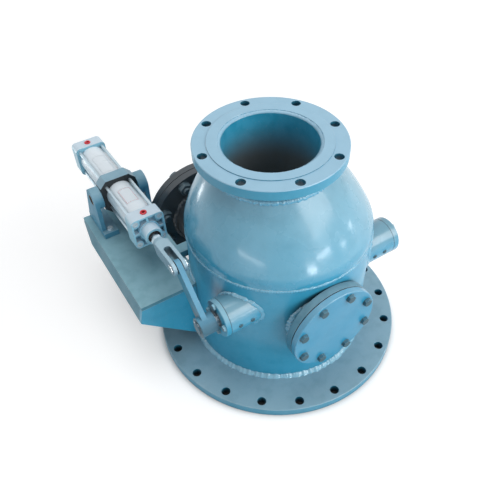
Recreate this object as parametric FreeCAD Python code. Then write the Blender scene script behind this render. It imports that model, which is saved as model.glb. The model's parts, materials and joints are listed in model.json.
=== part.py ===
"""Flap valve with a side-mounted air cylinder, modelled in millimetres.

Frame: the origin is the centre of the base bolt circle on the base's underside,
+Z points up through the inlet and +X runs along the flap shaft, from the drive
side (lever) to the idle side.  The flap hangs open in this pose.
"""
import FreeCAD
import Part
import math
import os

Vector = FreeCAD.Vector
X_AXIS = Vector(1, 0, 0)
Y_AXIS = Vector(0, 1, 0)
Z_AXIS = Vector(0, 0, 1)

# Body shell and base flange
shell_od = 435.0
shell_wall = 8.0
shell_setback = 8.0
shell_height = 339.0
base_bolt_land = 72.0
base_rim = 21.5
base_thick = 24.0
base_holes = 20
base_hole_d = 22.0
base_hole_turn = 13.2
base_weld_leg = 9.0
seam_weld_width = 14.0
seam_weld_crown = 2.5

# Dome head: straight skirt, knuckle, crown, leaning over to the inlet's centre
dome_wall = 8.0
dome_skirt = 13.0
knuckle_r = 60.0
knuckle_angle = 22.0
dome_rise = 183.0
dome_mouth_lip = 5.5

# Inlet
inlet_aside = 17.0
inlet_back = 12.0
inlet_od = 219.0
inlet_wall = 6.0
inlet_setback = 6.0
inlet_bolt_land = 38.0
inlet_rim = 16.5
inlet_flange_thick = 26.0
inlet_holes = 8
inlet_hole_d = 21.0
inlet_hole_turn = 33.9
raised_face_clear = 4.0
raised_face_h = 2.0
neck_weld_height = 6.0
neck_weld_width = 8.5

# Flap, seat and shaft
shaft_inset = 93.5
shaft_drop = 79.0
seat_rise = 50.0
seat_ring_w = 14.5
seat_ring_h = 12.0
swing = 70.0
journal_d = 28.0
shaft_mid_d = 32.0
shaft_end_play = 1.0
running_gap = 0.05
disc_d = 236.0
disc_thick = 14.0
disc_edge_chamfer = 3.0
seal_gap = 0.5
seal_thick = 6.0
seal_od = 230.0
clamp_od = 196.0
clamp_id = 150.0
clamp_thick = 5.0
clamp_screws = 8
disc_boss_d = 48.0
disc_boss_h = 9.5
disc_stud_d = 18.0
disc_stud_out = 20.0
disc_washer_d = 34.0
disc_washer_h = 3.0
disc_nut_af = 27.0
disc_nut_h = 13.0
arm_hub_d = 54.0
arm_hub_len = 80.0
arm_boss_thick = 26.0
arm_web_thick = 18.0
arm_tip_r = 24.0
arm_rib_thick = 12.0
arm_rib_lift = 4.0
arm_pin_d = 10.0
arm_pin_pitch = 50.0

# Bearing housings on the shaft axis
housing_d = 88.0
housing_nose = 7.0
drive_housing_out = 7.5
idle_housing_out = 15.5
bush_wall = 5.0
bush_len = 50.0
packing_od = 44.0
packing_rings = 4
packing_ring_w = 5.5
gland_thick = 12.0
gland_nose = 8.0
gland_bolts = 4
gland_bolt_pcd = 70.0
gland_bolt_turn = -10.0
end_cover_thick = 12.0
end_cover_screws = 4
end_cover_screw_turn = 20.0
drive_plugs_in = 37.0
idle_plugs_in = 48.5
set_screw_pitch = 30.0
set_screw_d = 10.0

# Inspection port on the -Y side
port_pipe_od = 168.0
port_pipe_wall = 6.0
inspection_drop = 121.0
inspection_stand = 1.5
inspection_bolt_land = 8.0
inspection_rim = 16.0
inspection_flange_thick = 17.0
inspection_cover_thick = 14.0
inspection_bolts = 8
inspection_bolt_turn = 25.4
gasket_thick = 2.0

# Side outlet on the +Y side, closed by a blind cover
outlet_aside = 59.0
outlet_over_base = 18.5
outlet_stand = 65.5
outlet_bolt_land = 36.0
outlet_rim = 22.5
outlet_flange_thick = 20.0
outlet_cover_thick = 20.0
outlet_bolts = 8
outlet_bolt_turn = 22.5
pipe_end_setback = 5.0

# Lever on the drive end of the shaft
hub_gap = 9.0
hub_d = 47.0
hub_len = 37.0
lever_bar_inset = 22.0
lever_bar_thick = 12.0
lever_root_r = 21.0
lever_eye_r = 16.0
lever_len = 138.0
lever_rest = 42.4
shaft_end_out = 3.0
key_w = 8.0
key_h = 7.0
key_depth = 4.0

# Fork, rod and air cylinder, measured along the cylinder axis from the fork pin
cylinder_tilt = -3.9
fork_pin_d = 16.0
fork_w = 32.0
fork_slot_w = 16.0
fork_ear = 16.0
fork_slot_depth = 55.0
fork_len = 96.0
fork_taper_len = 30.0
fork_nose_len = 12.0
fork_thread_d = 16.0
fork_thread_len = 34.0
pin_head_h = 3.0
pin_eye_gap = 2.0
rod_nut_len = 10.0
rod_nut_af = 24.0
rod_d = 20.0
rod_showing = 11.0
nose_len = 27.0
nose_d = 44.0
cap_w = 80.0
cap_corner_r = 11.0
cap_len = 37.0
cap_rim = 4.5
cap_pocket_depth = 14.0
cap_rib = 5.0
corner_boss_r = 10.5
barrel_bore = 63.0
barrel_wall = 3.5
barrel_len = 324.0
tie_rod_d = 8.0
tie_rod_pitch = 60.0
tie_nut_d = 14.0
tie_nut_len = 8.0
piston_thick = 24.0
piston_rear_gap = 3.0
rod_bush_wall = 4.0
port_d = 13.0
plug_d = 16.0
plug_proud = 3.0
trunnion_from_front = 189.0
trunnion_len = 34.0
trunnion_w = 92.0
trunnion_chamfer = 16.0
trunnion_pin_d = 22.0

# Trunnion supports and the bracket that carries them
support_gap = 1.0
support_boss_len = 24.0
support_boss_r = 28.0
support_height = 100.0
support_foot_thick = 15.0
support_foot_front = 43.0
support_foot_behind = 65.0
support_web_thick = 11.0
support_web_setback = 3.0
support_foot_in = 14.0
support_bolt_front = 31.0
support_bolt_behind = 48.0
support_bolt_in = 3.0
bracket_outboard = 90.0
bracket_from_shaft = 138.0
bracket_thick = 10.0
bracket_skirt = 42.0
skirt_thick = 8.0
skirt_flare = 8.0
skirt_rear_cut = 52.0
cross_plate_gap = 6.0
gusset_thick = 10.0
gusset_foot = 17.0
gusset_pitch = 64.0
tie_block_w = 28.0
tie_block_h = 20.0
tie_block_at = 104.0
tie_block_lap = 15.0

# Hexagon heads: across flats and height for each thread size in use
m6 = 6.0
m6_af = 10.0
m6_head = 4.0
m8 = 8.0
m8_af = 13.0
m8_head = 5.5
m12 = 12.0
m12_af = 19.0
m12_head = 8.0
m20 = 20.0
m20_af = 30.0
m20_head = 12.5
m20_nut = 16.0
bolt_reach = 18.0

# Places that follow from the sizes above
shell_r = shell_od / 2
shell_ri = shell_r - shell_wall
seam_z = shell_setback + shell_height
base_pcd = shell_od + 2 * base_bolt_land
base_od = base_pcd + 2 * base_rim
inlet_x = -inlet_aside
inlet_y = inlet_back
inlet_pcd = inlet_od + 2 * inlet_bolt_land
inlet_flange_od = inlet_pcd + 2 * inlet_rim
raised_face_d = inlet_pcd - inlet_hole_d - 2 * raised_face_clear
inspection_z = seam_z - inspection_drop
inspection_pcd = port_pipe_od + 2 * inspection_bolt_land
inspection_flange_od = inspection_pcd + 2 * inspection_rim
outlet_x = -outlet_aside
outlet_pcd = port_pipe_od + 2 * outlet_bolt_land
outlet_flange_od = outlet_pcd + 2 * outlet_rim
outlet_z = base_thick + outlet_over_base + outlet_flange_od / 2
dome_skirt_z = seam_z + dome_skirt
dome_mouth_z = dome_skirt_z + dome_rise
inlet_r = inlet_od / 2
inlet_ri = inlet_r - inlet_wall
inlet_under_z = dome_mouth_z + neck_weld_height
inlet_top_z = inlet_under_z + inlet_flange_thick
shaft_offset = shell_ri - shaft_inset
shaft_y = -shaft_offset
shaft_z = seam_z - shaft_drop
seat_z = shaft_z + seat_rise
journal_r = journal_d / 2
housing_r = housing_d / 2
housing_inner_x = math.sqrt(shell_ri ** 2 - (shaft_offset + housing_r) ** 2) - housing_nose
drive_face_x = -(shell_r + drive_housing_out)
idle_face_x = shell_r + idle_housing_out
gland_face_x = drive_face_x - gland_thick
hub_inner_x = gland_face_x - hub_gap
hub_outer_x = hub_inner_x - hub_len
lever_x = hub_inner_x - lever_bar_inset
disc_top_z = seat_z - seal_gap - seal_thick
arm_top_z = disc_top_z - disc_thick - disc_boss_h
pin_y = shaft_y + lever_len * math.cos(math.radians(lever_rest))
pin_z = shaft_z + lever_len * math.sin(math.radians(lever_rest))
nose_at = fork_len + rod_nut_len + rod_showing
front_at = nose_at + nose_len
barrel_at = front_at + cap_len
rear_cap_at = barrel_at + barrel_len
rear_at = rear_cap_at + cap_len
trunnion_at = front_at + trunnion_from_front
trunnion_y = pin_y + trunnion_at * math.cos(math.radians(cylinder_tilt))
trunnion_z = pin_z + trunnion_at * math.sin(math.radians(cylinder_tilt))
support_in = trunnion_w / 2 + support_gap
support_out = support_in + support_boss_len
bracket_z = trunnion_z - support_height
bracket_front_y = shaft_y + bracket_from_shaft
bracket_rear_y = trunnion_y + support_foot_behind
bracket_outer_x = lever_x - bracket_outboard
bracket_inner_x = lever_x + support_out
skirt_low_z = bracket_z - bracket_thick - bracket_skirt
barrel_r = barrel_bore / 2 + barrel_wall
piston_at = rear_cap_at - piston_rear_gap - piston_thick


# Small building blocks

def cylinder(radius, length, base, axis=Z_AXIS):
    """Solid cylinder from the point base along axis."""
    return Part.makeCylinder(radius, length, base, axis)


def tube(outer, inner, length, base, axis=Z_AXIS):
    """Hollow cylinder: outer and inner radius, from base along axis."""
    return cylinder(outer, length, base, axis).cut(cylinder(inner, length, base, axis))


def block(x0, x1, y0, y1, z0, z1):
    """Box between two opposite corners."""
    return Part.makeBox(x1 - x0, y1 - y0, z1 - z0, Vector(x0, y0, z0))


def around(centre, axis, radius, count, turn):
    """Points on a bolt circle; turn is the first point's angle in degrees.

    Angles run from +X for a circle about Z or Y, and from +Y for one about X.
    """
    points = []
    for i in range(count):
        a = math.radians(turn + 360.0 * i / count)
        u = radius * math.cos(a)
        v = radius * math.sin(a)
        if axis == "x":
            points.append(centre + Vector(0, u, v))
        elif axis == "y":
            points.append(centre + Vector(u, 0, v))
        else:
            points.append(centre + Vector(u, v, 0))
    return points


def hexagon(across_flats, length, base, axis=Z_AXIS):
    """Hexagonal prism from base along axis."""
    radius = across_flats / math.sqrt(3)
    points = []
    for i in range(7):
        a = math.radians(60.0 * i)
        points.append(Vector(radius * math.cos(a), radius * math.sin(a), 0))
    prism = Part.Face(Part.makePolygon(points)).extrude(Vector(0, 0, length))
    prism.Placement = FreeCAD.Placement(base, FreeCAD.Rotation(Z_AXIS, axis))
    return prism


def hex_bolt(seat, into, size, across_flats, head, shank):
    """Hexagon bolt: head standing off the seat, shank going along into."""
    out = into * -1.0
    solid = hexagon(across_flats, head, seat, out)
    dome = Part.makeCone(across_flats / 2 + 3 * head, across_flats / 2 - 0.08 * head, head * 1.02, seat, out)
    solid = solid.common(dome)
    return solid.fuse(cylinder(size / 2, shank, seat, into)).removeSplitter()


def revolve_rz(points, centre=Vector(0, 0, 0)):
    """Solid of revolution about the vertical through centre from (radius, z) points."""
    wire = Part.makePolygon([Vector(r, 0, z) for r, z in points + points[:1]])
    solid = Part.Face(wire).revolve(Vector(0, 0, 0), Z_AXIS, 360)
    solid.translate(centre)
    return solid


def revolve_edges(edges, axis_dir=Z_AXIS):
    """Solid of revolution about axis_dir through the origin from an edge loop."""
    return Part.Face(Part.Wire(edges)).revolve(Vector(0, 0, 0), axis_dir, 360)


def tangent_link(root_r, eye_r, length, thick):
    """Flat link in the YZ plane: two round ends joined by their outer tangents."""
    a = math.acos((root_r - eye_r) / length)
    c = math.cos(a)
    s = math.sin(a)
    points = [
        Vector(0, root_r * c, root_r * s),
        Vector(0, length + eye_r * c, eye_r * s),
        Vector(0, length + eye_r * c, -eye_r * s),
        Vector(0, root_r * c, -root_r * s),
    ]
    web = Part.Face(Part.makePolygon(points + points[:1])).extrude(Vector(thick, 0, 0))
    web.translate(Vector(-thick / 2, 0, 0))
    root = cylinder(root_r, thick, Vector(-thick / 2, 0, 0), X_AXIS)
    eye = cylinder(eye_r, thick, Vector(-thick / 2, length, 0), X_AXIS)
    return web.fuse([root, eye]).removeSplitter()


def hang(shape):
    """Turn a piece drawn with the flap closed to the open pose."""
    shape.rotate(Vector(0, shaft_y, shaft_z), X_AXIS, -swing)
    return shape


def on_lever(shape):
    """Place a piece drawn along +Y from the shaft centre on the lever's line."""
    shape.rotate(Vector(0, 0, 0), X_AXIS, lever_rest)
    shape.translate(Vector(0, shaft_y, shaft_z))
    return shape


def on_cylinder(shape):
    """Place a piece drawn along +Y from the fork pin on the cylinder's axis."""
    shape.rotate(Vector(0, 0, 0), X_AXIS, cylinder_tilt)
    shape.translate(Vector(lever_x, pin_y, pin_z))
    return shape


# Body and dome

def base_flange():
    ring = tube(base_od / 2, shell_r, base_thick, Vector(0, 0, 0))
    rim = [e for e in ring.Edges if abs(e.BoundBox.XLength - base_od) < 0.01]
    ring = ring.makeChamfer(1.5, rim)
    for p in around(Vector(0, 0, 0), "z", base_pcd / 2, base_holes, base_hole_turn):
        ring = ring.cut(cylinder(base_hole_d / 2, base_thick, p))
    return ring


def shell_half(side):
    """Half of the rolled shell, on the side * Y side of its two upright seams."""
    shell = tube(shell_r, shell_ri, shell_height, Vector(0, 0, shell_setback))
    y0 = min(0.0, side * shell_od)
    keep = block(-shell_od, shell_od, y0, y0 + shell_od, 0.0, shell_setback + shell_height)
    shell = shell.common(keep)
    port_ri = port_pipe_od / 2 - port_pipe_wall
    inspection = Vector(inlet_x, 0, inspection_z)
    outlet = Vector(outlet_x, 0, outlet_z)
    housings = Vector(-shell_od, shaft_y, shaft_z)
    return shell.cut([
        cylinder(port_ri, shell_od, inspection, Y_AXIS * -1.0),
        cylinder(port_ri, shell_od, outlet, Y_AXIS),
        cylinder(housing_r, 2 * shell_od, housings, X_AXIS),
    ])


def dome_edges(offset):
    """Outline edges of the dome at a depth offset below its outer surface.

    The knuckle arc has its centre on the skirt's top plane; the crown arc is
    tangent to it and ends at the mouth.  Its radius follows from both ends.
    """
    a = math.radians(knuckle_angle)
    normal = Vector(math.cos(a), 0, math.sin(a))
    centre = Vector(shell_r - knuckle_r, 0, dome_skirt_z)
    knuckle_end = centre + normal * knuckle_r
    mouth = Vector(inlet_r + dome_mouth_lip, 0, dome_mouth_z)
    d = mouth - knuckle_end
    crown_r = -d.dot(d) / (2 * d.dot(normal))
    crown_centre = knuckle_end - normal * crown_r
    kr = knuckle_r - offset
    cr = crown_r - offset
    start = centre + Vector(kr, 0, 0)
    mid_a = a / 2
    mid = centre + Vector(kr * math.cos(mid_a), 0, kr * math.sin(mid_a))
    joint = centre + normal * kr
    rise = dome_mouth_z - crown_centre.z
    end = Vector(crown_centre.x + math.sqrt(cr ** 2 - rise ** 2), 0, dome_mouth_z)
    end_a = math.asin(rise / cr)
    half = (a + end_a) / 2
    crown_mid = crown_centre + Vector(cr * math.cos(half), 0, cr * math.sin(half))
    axis_top = Vector(0, 0, dome_mouth_z)
    axis_low = Vector(0, 0, dome_skirt_z)
    return [
        Part.Arc(start, mid, joint).toShape(),
        Part.Arc(joint, crown_mid, end).toShape(),
        Part.makeLine(end, axis_top),
        Part.makeLine(axis_top, axis_low),
        Part.makeLine(axis_low, start),
    ]


def lean():
    """Matrix that shears the crown sideways until its mouth meets the inlet's centre."""
    m = FreeCAD.Matrix()
    m.A13 = inlet_x / dome_rise
    m.A14 = -m.A13 * dome_skirt_z
    m.A23 = inlet_y / dome_rise
    m.A24 = -m.A23 * dome_skirt_z
    return m


def dome_head():
    outer = revolve_edges(dome_edges(0.0)).transformGeometry(lean())
    inner = revolve_edges(dome_edges(dome_wall)).transformGeometry(lean())
    skirt = tube(shell_r, shell_r - dome_wall, dome_skirt, Vector(0, 0, seam_z))
    crown = outer.cut(inner)
    mouth = cylinder(inlet_r, 2 * dome_rise, Vector(inlet_x, inlet_y, dome_skirt_z))
    return crown.cut(mouth).fuse(skirt)


def base_weld():
    leg = base_weld_leg
    z = base_thick
    return revolve_rz([(shell_r, z), (shell_r + leg, z), (shell_r + 0.35 * leg, z + 0.4 * leg), (shell_r, z + leg)])


def seam_weld():
    half = seam_weld_width / 2
    low = Vector(shell_r, 0, seam_z - half)
    top = Vector(shell_r, 0, seam_z + half)
    crest = Vector(shell_r + seam_weld_crown, 0, seam_z)
    return revolve_edges([Part.Arc(low, crest, top).toShape(), Part.makeLine(top, low)])


# Inlet and seat

def inlet_pipe():
    low = seat_z + seat_ring_h
    return tube(inlet_r, inlet_ri, inlet_top_z - inlet_setback - low, Vector(inlet_x, inlet_y, low))


def inlet_flange():
    centre = Vector(inlet_x, inlet_y, 0)
    face_z = inlet_top_z - raised_face_h
    ring = revolve_rz([
        (inlet_r, inlet_under_z),
        (inlet_flange_od / 2 - 1.5, inlet_under_z),
        (inlet_flange_od / 2, inlet_under_z + 1.5),
        (inlet_flange_od / 2, face_z - 1.5),
        (inlet_flange_od / 2 - 1.5, face_z),
        (raised_face_d / 2, face_z),
        (raised_face_d / 2, inlet_top_z),
        (inlet_r + 1.0, inlet_top_z),
        (inlet_r, inlet_top_z - 1.0),
    ], centre)
    low = Vector(inlet_x, inlet_y, inlet_under_z)
    for p in around(low, "z", inlet_pcd / 2, inlet_holes, inlet_hole_turn):
        ring = ring.cut(cylinder(inlet_hole_d / 2, inlet_flange_thick, p))
    return ring


def neck_weld():
    z0 = dome_mouth_z
    z1 = inlet_under_z
    out = inlet_r + neck_weld_width
    mid = Vector(out, 0, (z0 + z1) / 2)
    a = Vector(inlet_r, 0, z0)
    b = Vector(out - 2.0, 0, z0)
    c = Vector(out - 2.0, 0, z1)
    d = Vector(inlet_r, 0, z1)
    ring = revolve_edges([
        Part.makeLine(a, b),
        Part.Arc(b, mid, c).toShape(),
        Part.makeLine(c, d),
        Part.makeLine(d, a),
    ])
    ring.translate(Vector(inlet_x, inlet_y, 0))
    return ring


def seat_ring():
    centre = Vector(inlet_x, inlet_y, 0)
    outer = inlet_ri + seat_ring_w
    return revolve_rz([
        (inlet_ri + 2.0, seat_z),
        (outer - 2.0, seat_z),
        (outer, seat_z + 2.0),
        (outer, seat_z + seat_ring_h),
        (inlet_ri, seat_z + seat_ring_h),
        (inlet_ri, seat_z + 2.0),
    ], centre)


# Shaft bearings

def drive_bearing_housing():
    inner_x = -housing_inner_x
    solid = cylinder(housing_r, inner_x - drive_face_x, Vector(drive_face_x, shaft_y, shaft_z), X_AXIS)
    bush_x = inner_x - bush_len
    bore = cylinder(journal_r + bush_wall, bush_len, Vector(bush_x, shaft_y, shaft_z), X_AXIS)
    neck = cylinder(journal_r + 1.0, bush_x - drive_face_x, Vector(drive_face_x, shaft_y, shaft_z), X_AXIS)
    box_len = packing_rings * packing_ring_w + gland_nose
    box = cylinder(packing_od / 2, box_len, Vector(drive_face_x, shaft_y, shaft_z), X_AXIS)
    solid = solid.cut([bore, neck, box])
    holes = []
    for p in gland_bolt_points():
        holes.append(cylinder(m8 / 2, bolt_reach, p, X_AXIS))
    for x in drive_screw_x():
        holes.append(cylinder(set_screw_d / 2, 12.0, Vector(x, shaft_y - housing_r, shaft_z), Y_AXIS))
    return solid.cut(holes)


def idle_bearing_housing():
    length = idle_face_x - housing_inner_x
    solid = cylinder(housing_r, length, Vector(housing_inner_x, shaft_y, shaft_z), X_AXIS)
    bore = cylinder(journal_r + bush_wall, length, Vector(housing_inner_x, shaft_y, shaft_z), X_AXIS)
    holes = [bore]
    for p in end_cover_points(idle_face_x - bolt_reach):
        holes.append(cylinder(m6 / 2, bolt_reach, p, X_AXIS))
    for x in idle_screw_x():
        holes.append(cylinder(set_screw_d / 2, 12.0, Vector(x, shaft_y - housing_r, shaft_z), Y_AXIS))
    return solid.cut(holes)


def bush(x0):
    return tube(journal_r + bush_wall, journal_r + running_gap, bush_len, Vector(x0, shaft_y, shaft_z), X_AXIS)


def shaft_packing():
    rings = []
    for i in range(packing_rings):
        x = drive_face_x + gland_nose + i * packing_ring_w
        base = Vector(x, shaft_y, shaft_z)
        rings.append(tube(packing_od / 2, journal_r + running_gap, packing_ring_w - 0.2, base, X_AXIS))
    return Part.makeCompound(rings)


def gland_bolt_points():
    centre = Vector(drive_face_x, shaft_y, shaft_z)
    return around(centre, "x", gland_bolt_pcd / 2, gland_bolts, gland_bolt_turn)


def gland_flange():
    plate = cylinder(housing_r, gland_thick, Vector(gland_face_x, shaft_y, shaft_z), X_AXIS)
    rim = [e for e in plate.Edges if abs(e.BoundBox.Center.x - gland_face_x) < 0.01 and e.BoundBox.XLength < 0.01]
    plate = plate.makeChamfer(1.5, rim)
    nose = cylinder(packing_od / 2 - 0.1, gland_nose, Vector(drive_face_x, shaft_y, shaft_z), X_AXIS)
    solid = plate.fuse(nose)
    through = gland_thick + gland_nose
    bore = cylinder(journal_r + 0.3, through, Vector(gland_face_x, shaft_y, shaft_z), X_AXIS)
    solid = solid.cut(bore)
    for p in gland_bolt_points():
        solid = solid.cut(cylinder(m8 / 2, gland_thick, p - X_AXIS * gland_thick, X_AXIS))
    return solid


def gland_screws():
    solids = []
    for p in gland_bolt_points():
        seat = p - X_AXIS * gland_thick
        solids.append(hex_bolt(seat, X_AXIS, m8, m8_af, m8_head, gland_thick + bolt_reach))
    return Part.makeCompound(solids)


def end_cover_points(x):
    centre = Vector(x, shaft_y, shaft_z)
    return around(centre, "x", gland_bolt_pcd / 2, end_cover_screws, end_cover_screw_turn)


def idle_end_cover():
    cover = cylinder(housing_r, end_cover_thick, Vector(idle_face_x, shaft_y, shaft_z), X_AXIS)
    outer_x = idle_face_x + end_cover_thick
    rim = [e for e in cover.Edges if abs(e.BoundBox.Center.x - outer_x) < 0.01 and e.BoundBox.XLength < 0.01]
    cover = cover.makeChamfer(2.0, rim)
    spigot = cylinder(journal_r + bush_wall, 4.0, Vector(idle_face_x - 4.0, shaft_y, shaft_z), X_AXIS)
    cover = cover.fuse(spigot)
    for p in end_cover_points(idle_face_x):
        cover = cover.cut(cylinder(m6 / 2, end_cover_thick, p, X_AXIS))
    return cover


def idle_cover_screws():
    solids = []
    for p in end_cover_points(idle_face_x + end_cover_thick):
        solids.append(hex_bolt(p, X_AXIS * -1.0, m6, m6_af, m6_head, end_cover_thick + bolt_reach))
    return Part.makeCompound(solids)


def drive_screw_x():
    mid = drive_face_x + drive_plugs_in
    return [mid - set_screw_pitch / 2, mid + set_screw_pitch / 2]


def idle_screw_x():
    mid = idle_face_x - idle_plugs_in
    return [mid - set_screw_pitch / 2, mid + set_screw_pitch / 2]


def set_screws():
    """Slotted plugs let into the side of both housings, standing 1.5 mm proud."""
    solids = []
    for x in drive_screw_x() + idle_screw_x():
        base = Vector(x, shaft_y - housing_r - 1.5, shaft_z)
        plug = cylinder(set_screw_d / 2, 12.0, base, Y_AXIS)
        slot = block(x - set_screw_d, x + set_screw_d, base.y - 1, base.y + 1.2, shaft_z - 0.8, shaft_z + 0.8)
        solids.append(plug.cut(slot))
    return Part.makeCompound(solids)


# Side ports

inspection_back = shell_r + inspection_stand
inspection_joint = inspection_back + inspection_flange_thick
inspection_face = inspection_joint + gasket_thick + inspection_cover_thick
outlet_back = shell_r + outlet_stand
outlet_joint = outlet_back + outlet_flange_thick
outlet_face = outlet_joint + gasket_thick + outlet_cover_thick


def port_nozzle(x, z, side, reach):
    """Short pipe from the shell's outer face out to reach, along side * Y."""
    axis = Y_AXIS * side
    outer = port_pipe_od / 2
    pipe = tube(outer, outer - port_pipe_wall, reach, Vector(x, 0, z), axis)
    return pipe.cut(cylinder(shell_r, shell_height + dome_rise, Vector(0, 0, 0)))


def port_ring(x, z, side, near, thick, outer_d, inner_r, pcd, count, turn, hole_d):
    """Bolted ring of a side port, from the distance near outwards."""
    axis = Y_AXIS * side
    base = Vector(x, side * near, z)
    ring = tube(outer_d / 2, inner_r, thick, base, axis)
    for p in around(base, "y", pcd / 2, count, turn):
        ring = ring.cut(cylinder(hole_d / 2, thick, p, axis))
    return ring


def port_cover(x, z, side, near, thick, outer_d, pcd, count, turn, hole_d):
    """Blind cover of a side port with a chamfered outer rim."""
    axis = Y_AXIS * side
    base = Vector(x, side * near, z)
    cover = cylinder(outer_d / 2, thick, base, axis)
    far_y = side * (near + thick)
    rim = [e for e in cover.Edges if abs(e.BoundBox.Center.y - far_y) < 0.01 and e.BoundBox.YLength < 0.01]
    cover = cover.makeChamfer(1.5, rim)
    for p in around(base, "y", pcd / 2, count, turn):
        cover = cover.cut(cylinder(hole_d / 2, thick, p, axis))
    return cover


def inspection_nozzle():
    return port_nozzle(inlet_x, inspection_z, -1, inspection_joint - pipe_end_setback)


def inspection_flange():
    bore = port_pipe_od / 2
    return port_ring(inlet_x, inspection_z, -1, inspection_back, inspection_flange_thick,
                     inspection_flange_od, bore, inspection_pcd, inspection_bolts,
                     inspection_bolt_turn, m12)


def inspection_gasket():
    bore = port_pipe_od / 2 - port_pipe_wall
    return port_ring(inlet_x, inspection_z, -1, inspection_joint, gasket_thick,
                     inspection_flange_od - 4.0, bore, inspection_pcd, inspection_bolts,
                     inspection_bolt_turn, m12)


def inspection_cover():
    return port_cover(inlet_x, inspection_z, -1, inspection_joint + gasket_thick,
                      inspection_cover_thick, inspection_flange_od, inspection_pcd,
                      inspection_bolts, inspection_bolt_turn, m12)


def inspection_screws():
    grip = inspection_cover_thick + gasket_thick + inspection_flange_thick
    solids = []
    centre = Vector(inlet_x, -inspection_face, inspection_z)
    for p in around(centre, "y", inspection_pcd / 2, inspection_bolts, inspection_bolt_turn):
        solids.append(hex_bolt(p, Y_AXIS, m12, m12_af, m12_head, grip))
    return Part.makeCompound(solids)


def outlet_nozzle():
    return port_nozzle(outlet_x, outlet_z, 1, outlet_joint - pipe_end_setback)


def outlet_flange():
    return port_ring(outlet_x, outlet_z, 1, outlet_back, outlet_flange_thick,
                     outlet_flange_od, port_pipe_od / 2, outlet_pcd, outlet_bolts,
                     outlet_bolt_turn, m20)


def outlet_gasket():
    bore = port_pipe_od / 2 - port_pipe_wall
    return port_ring(outlet_x, outlet_z, 1, outlet_joint, gasket_thick,
                     outlet_pcd - m20 - 2 * gasket_thick, bore, outlet_pcd, 0, 0, m20)


def outlet_cover():
    return port_cover(outlet_x, outlet_z, 1, outlet_joint + gasket_thick, outlet_cover_thick,
                      outlet_flange_od, outlet_pcd, outlet_bolts, outlet_bolt_turn, m20)


def outlet_studs():
    """Through bolts: head on the cover, nut on the flange's back."""
    grip = outlet_cover_thick + gasket_thick + outlet_flange_thick
    solids = []
    centre = Vector(outlet_x, outlet_face, outlet_z)
    for p in around(centre, "y", outlet_pcd / 2, outlet_bolts, outlet_bolt_turn):
        bolt = hex_bolt(p, Y_AXIS * -1.0, m20, m20_af, m20_head, grip + m20_nut + m20 / 3)
        nut = hexagon(m20_af, m20_nut, p - Y_AXIS * grip, Y_AXIS * -1.0)
        solids.append(bolt.fuse(nut))
    return Part.makeCompound(solids)


# Flap, drawn closed against the seat and then hung open

def shaft():
    inner = housing_inner_x - shaft_end_play
    end_x = idle_face_x - 11.0
    start_x = hub_outer_x - shaft_end_out
    solid = cylinder(journal_r, end_x - start_x, Vector(start_x, shaft_y, shaft_z), X_AXIS)
    solid = solid.fuse(cylinder(shaft_mid_d / 2, 2 * inner, Vector(-inner, shaft_y, shaft_z), X_AXIS))
    holes = []
    for x in arm_pin_x():
        holes.append(hang(arm_pin_hole(x)))
    holes.append(on_lever(key_block()))
    return solid.cut(holes)


def arm_pin_x():
    return [inlet_x - arm_pin_pitch / 2, inlet_x + arm_pin_pitch / 2]


def arm_pin_hole(x):
    return cylinder(arm_pin_d / 2, arm_hub_d, Vector(x, shaft_y, shaft_z - arm_hub_d / 2), Z_AXIS)


def arm_pins():
    solids = []
    for x in arm_pin_x():
        solids.append(hang(arm_pin_hole(x)))
    return Part.makeCompound(solids)


def flap_arm():
    """Hub on the shaft, a web tapering to the tip boss, and a rib under the web."""
    reach = inlet_y - shaft_y
    low_z = arm_top_z - arm_boss_thick
    web_z = arm_top_z - arm_web_thick - 3.0
    hub = cylinder(arm_hub_d / 2, arm_hub_len, Vector(inlet_x - arm_hub_len / 2, shaft_y, shaft_z), X_AXIS)
    half = arm_hub_len / 2 - 4.0
    points = [
        Vector(inlet_x - half, shaft_y, web_z),
        Vector(inlet_x + half, shaft_y, web_z),
        Vector(inlet_x + arm_tip_r, inlet_y, web_z),
        Vector(inlet_x - arm_tip_r, inlet_y, web_z),
    ]
    web = Part.Face(Part.makePolygon(points + points[:1])).extrude(Vector(0, 0, arm_web_thick))
    boss = cylinder(arm_tip_r, arm_boss_thick, Vector(inlet_x, inlet_y, low_z))
    rib_points = [
        Vector(inlet_x - arm_rib_thick / 2, shaft_y, web_z),
        Vector(inlet_x - arm_rib_thick / 2, inlet_y, web_z),
        Vector(inlet_x - arm_rib_thick / 2, inlet_y, low_z + arm_rib_lift),
        Vector(inlet_x - arm_rib_thick / 2, shaft_y, shaft_z - 0.8 * arm_hub_d / 2),
    ]
    rib = Part.Face(Part.makePolygon(rib_points + rib_points[:1])).extrude(Vector(arm_rib_thick, 0, 0))
    arm = hub.fuse([web, boss, rib])
    length = arm_hub_len + 2.0
    start = Vector(inlet_x - length / 2, shaft_y, shaft_z)
    cuts = [cylinder(shaft_mid_d / 2, length, start, X_AXIS)]
    cuts.append(cylinder(disc_stud_d / 2, reach, Vector(inlet_x, inlet_y, low_z - 1.0)))
    for x in arm_pin_x():
        cuts.append(arm_pin_hole(x))
    return hang(arm.cut(cuts))


def clamp_screw_points(z):
    radius = (clamp_od + clamp_id) / 4
    return around(Vector(inlet_x, inlet_y, z), "z", radius, clamp_screws, 0.0)


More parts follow.
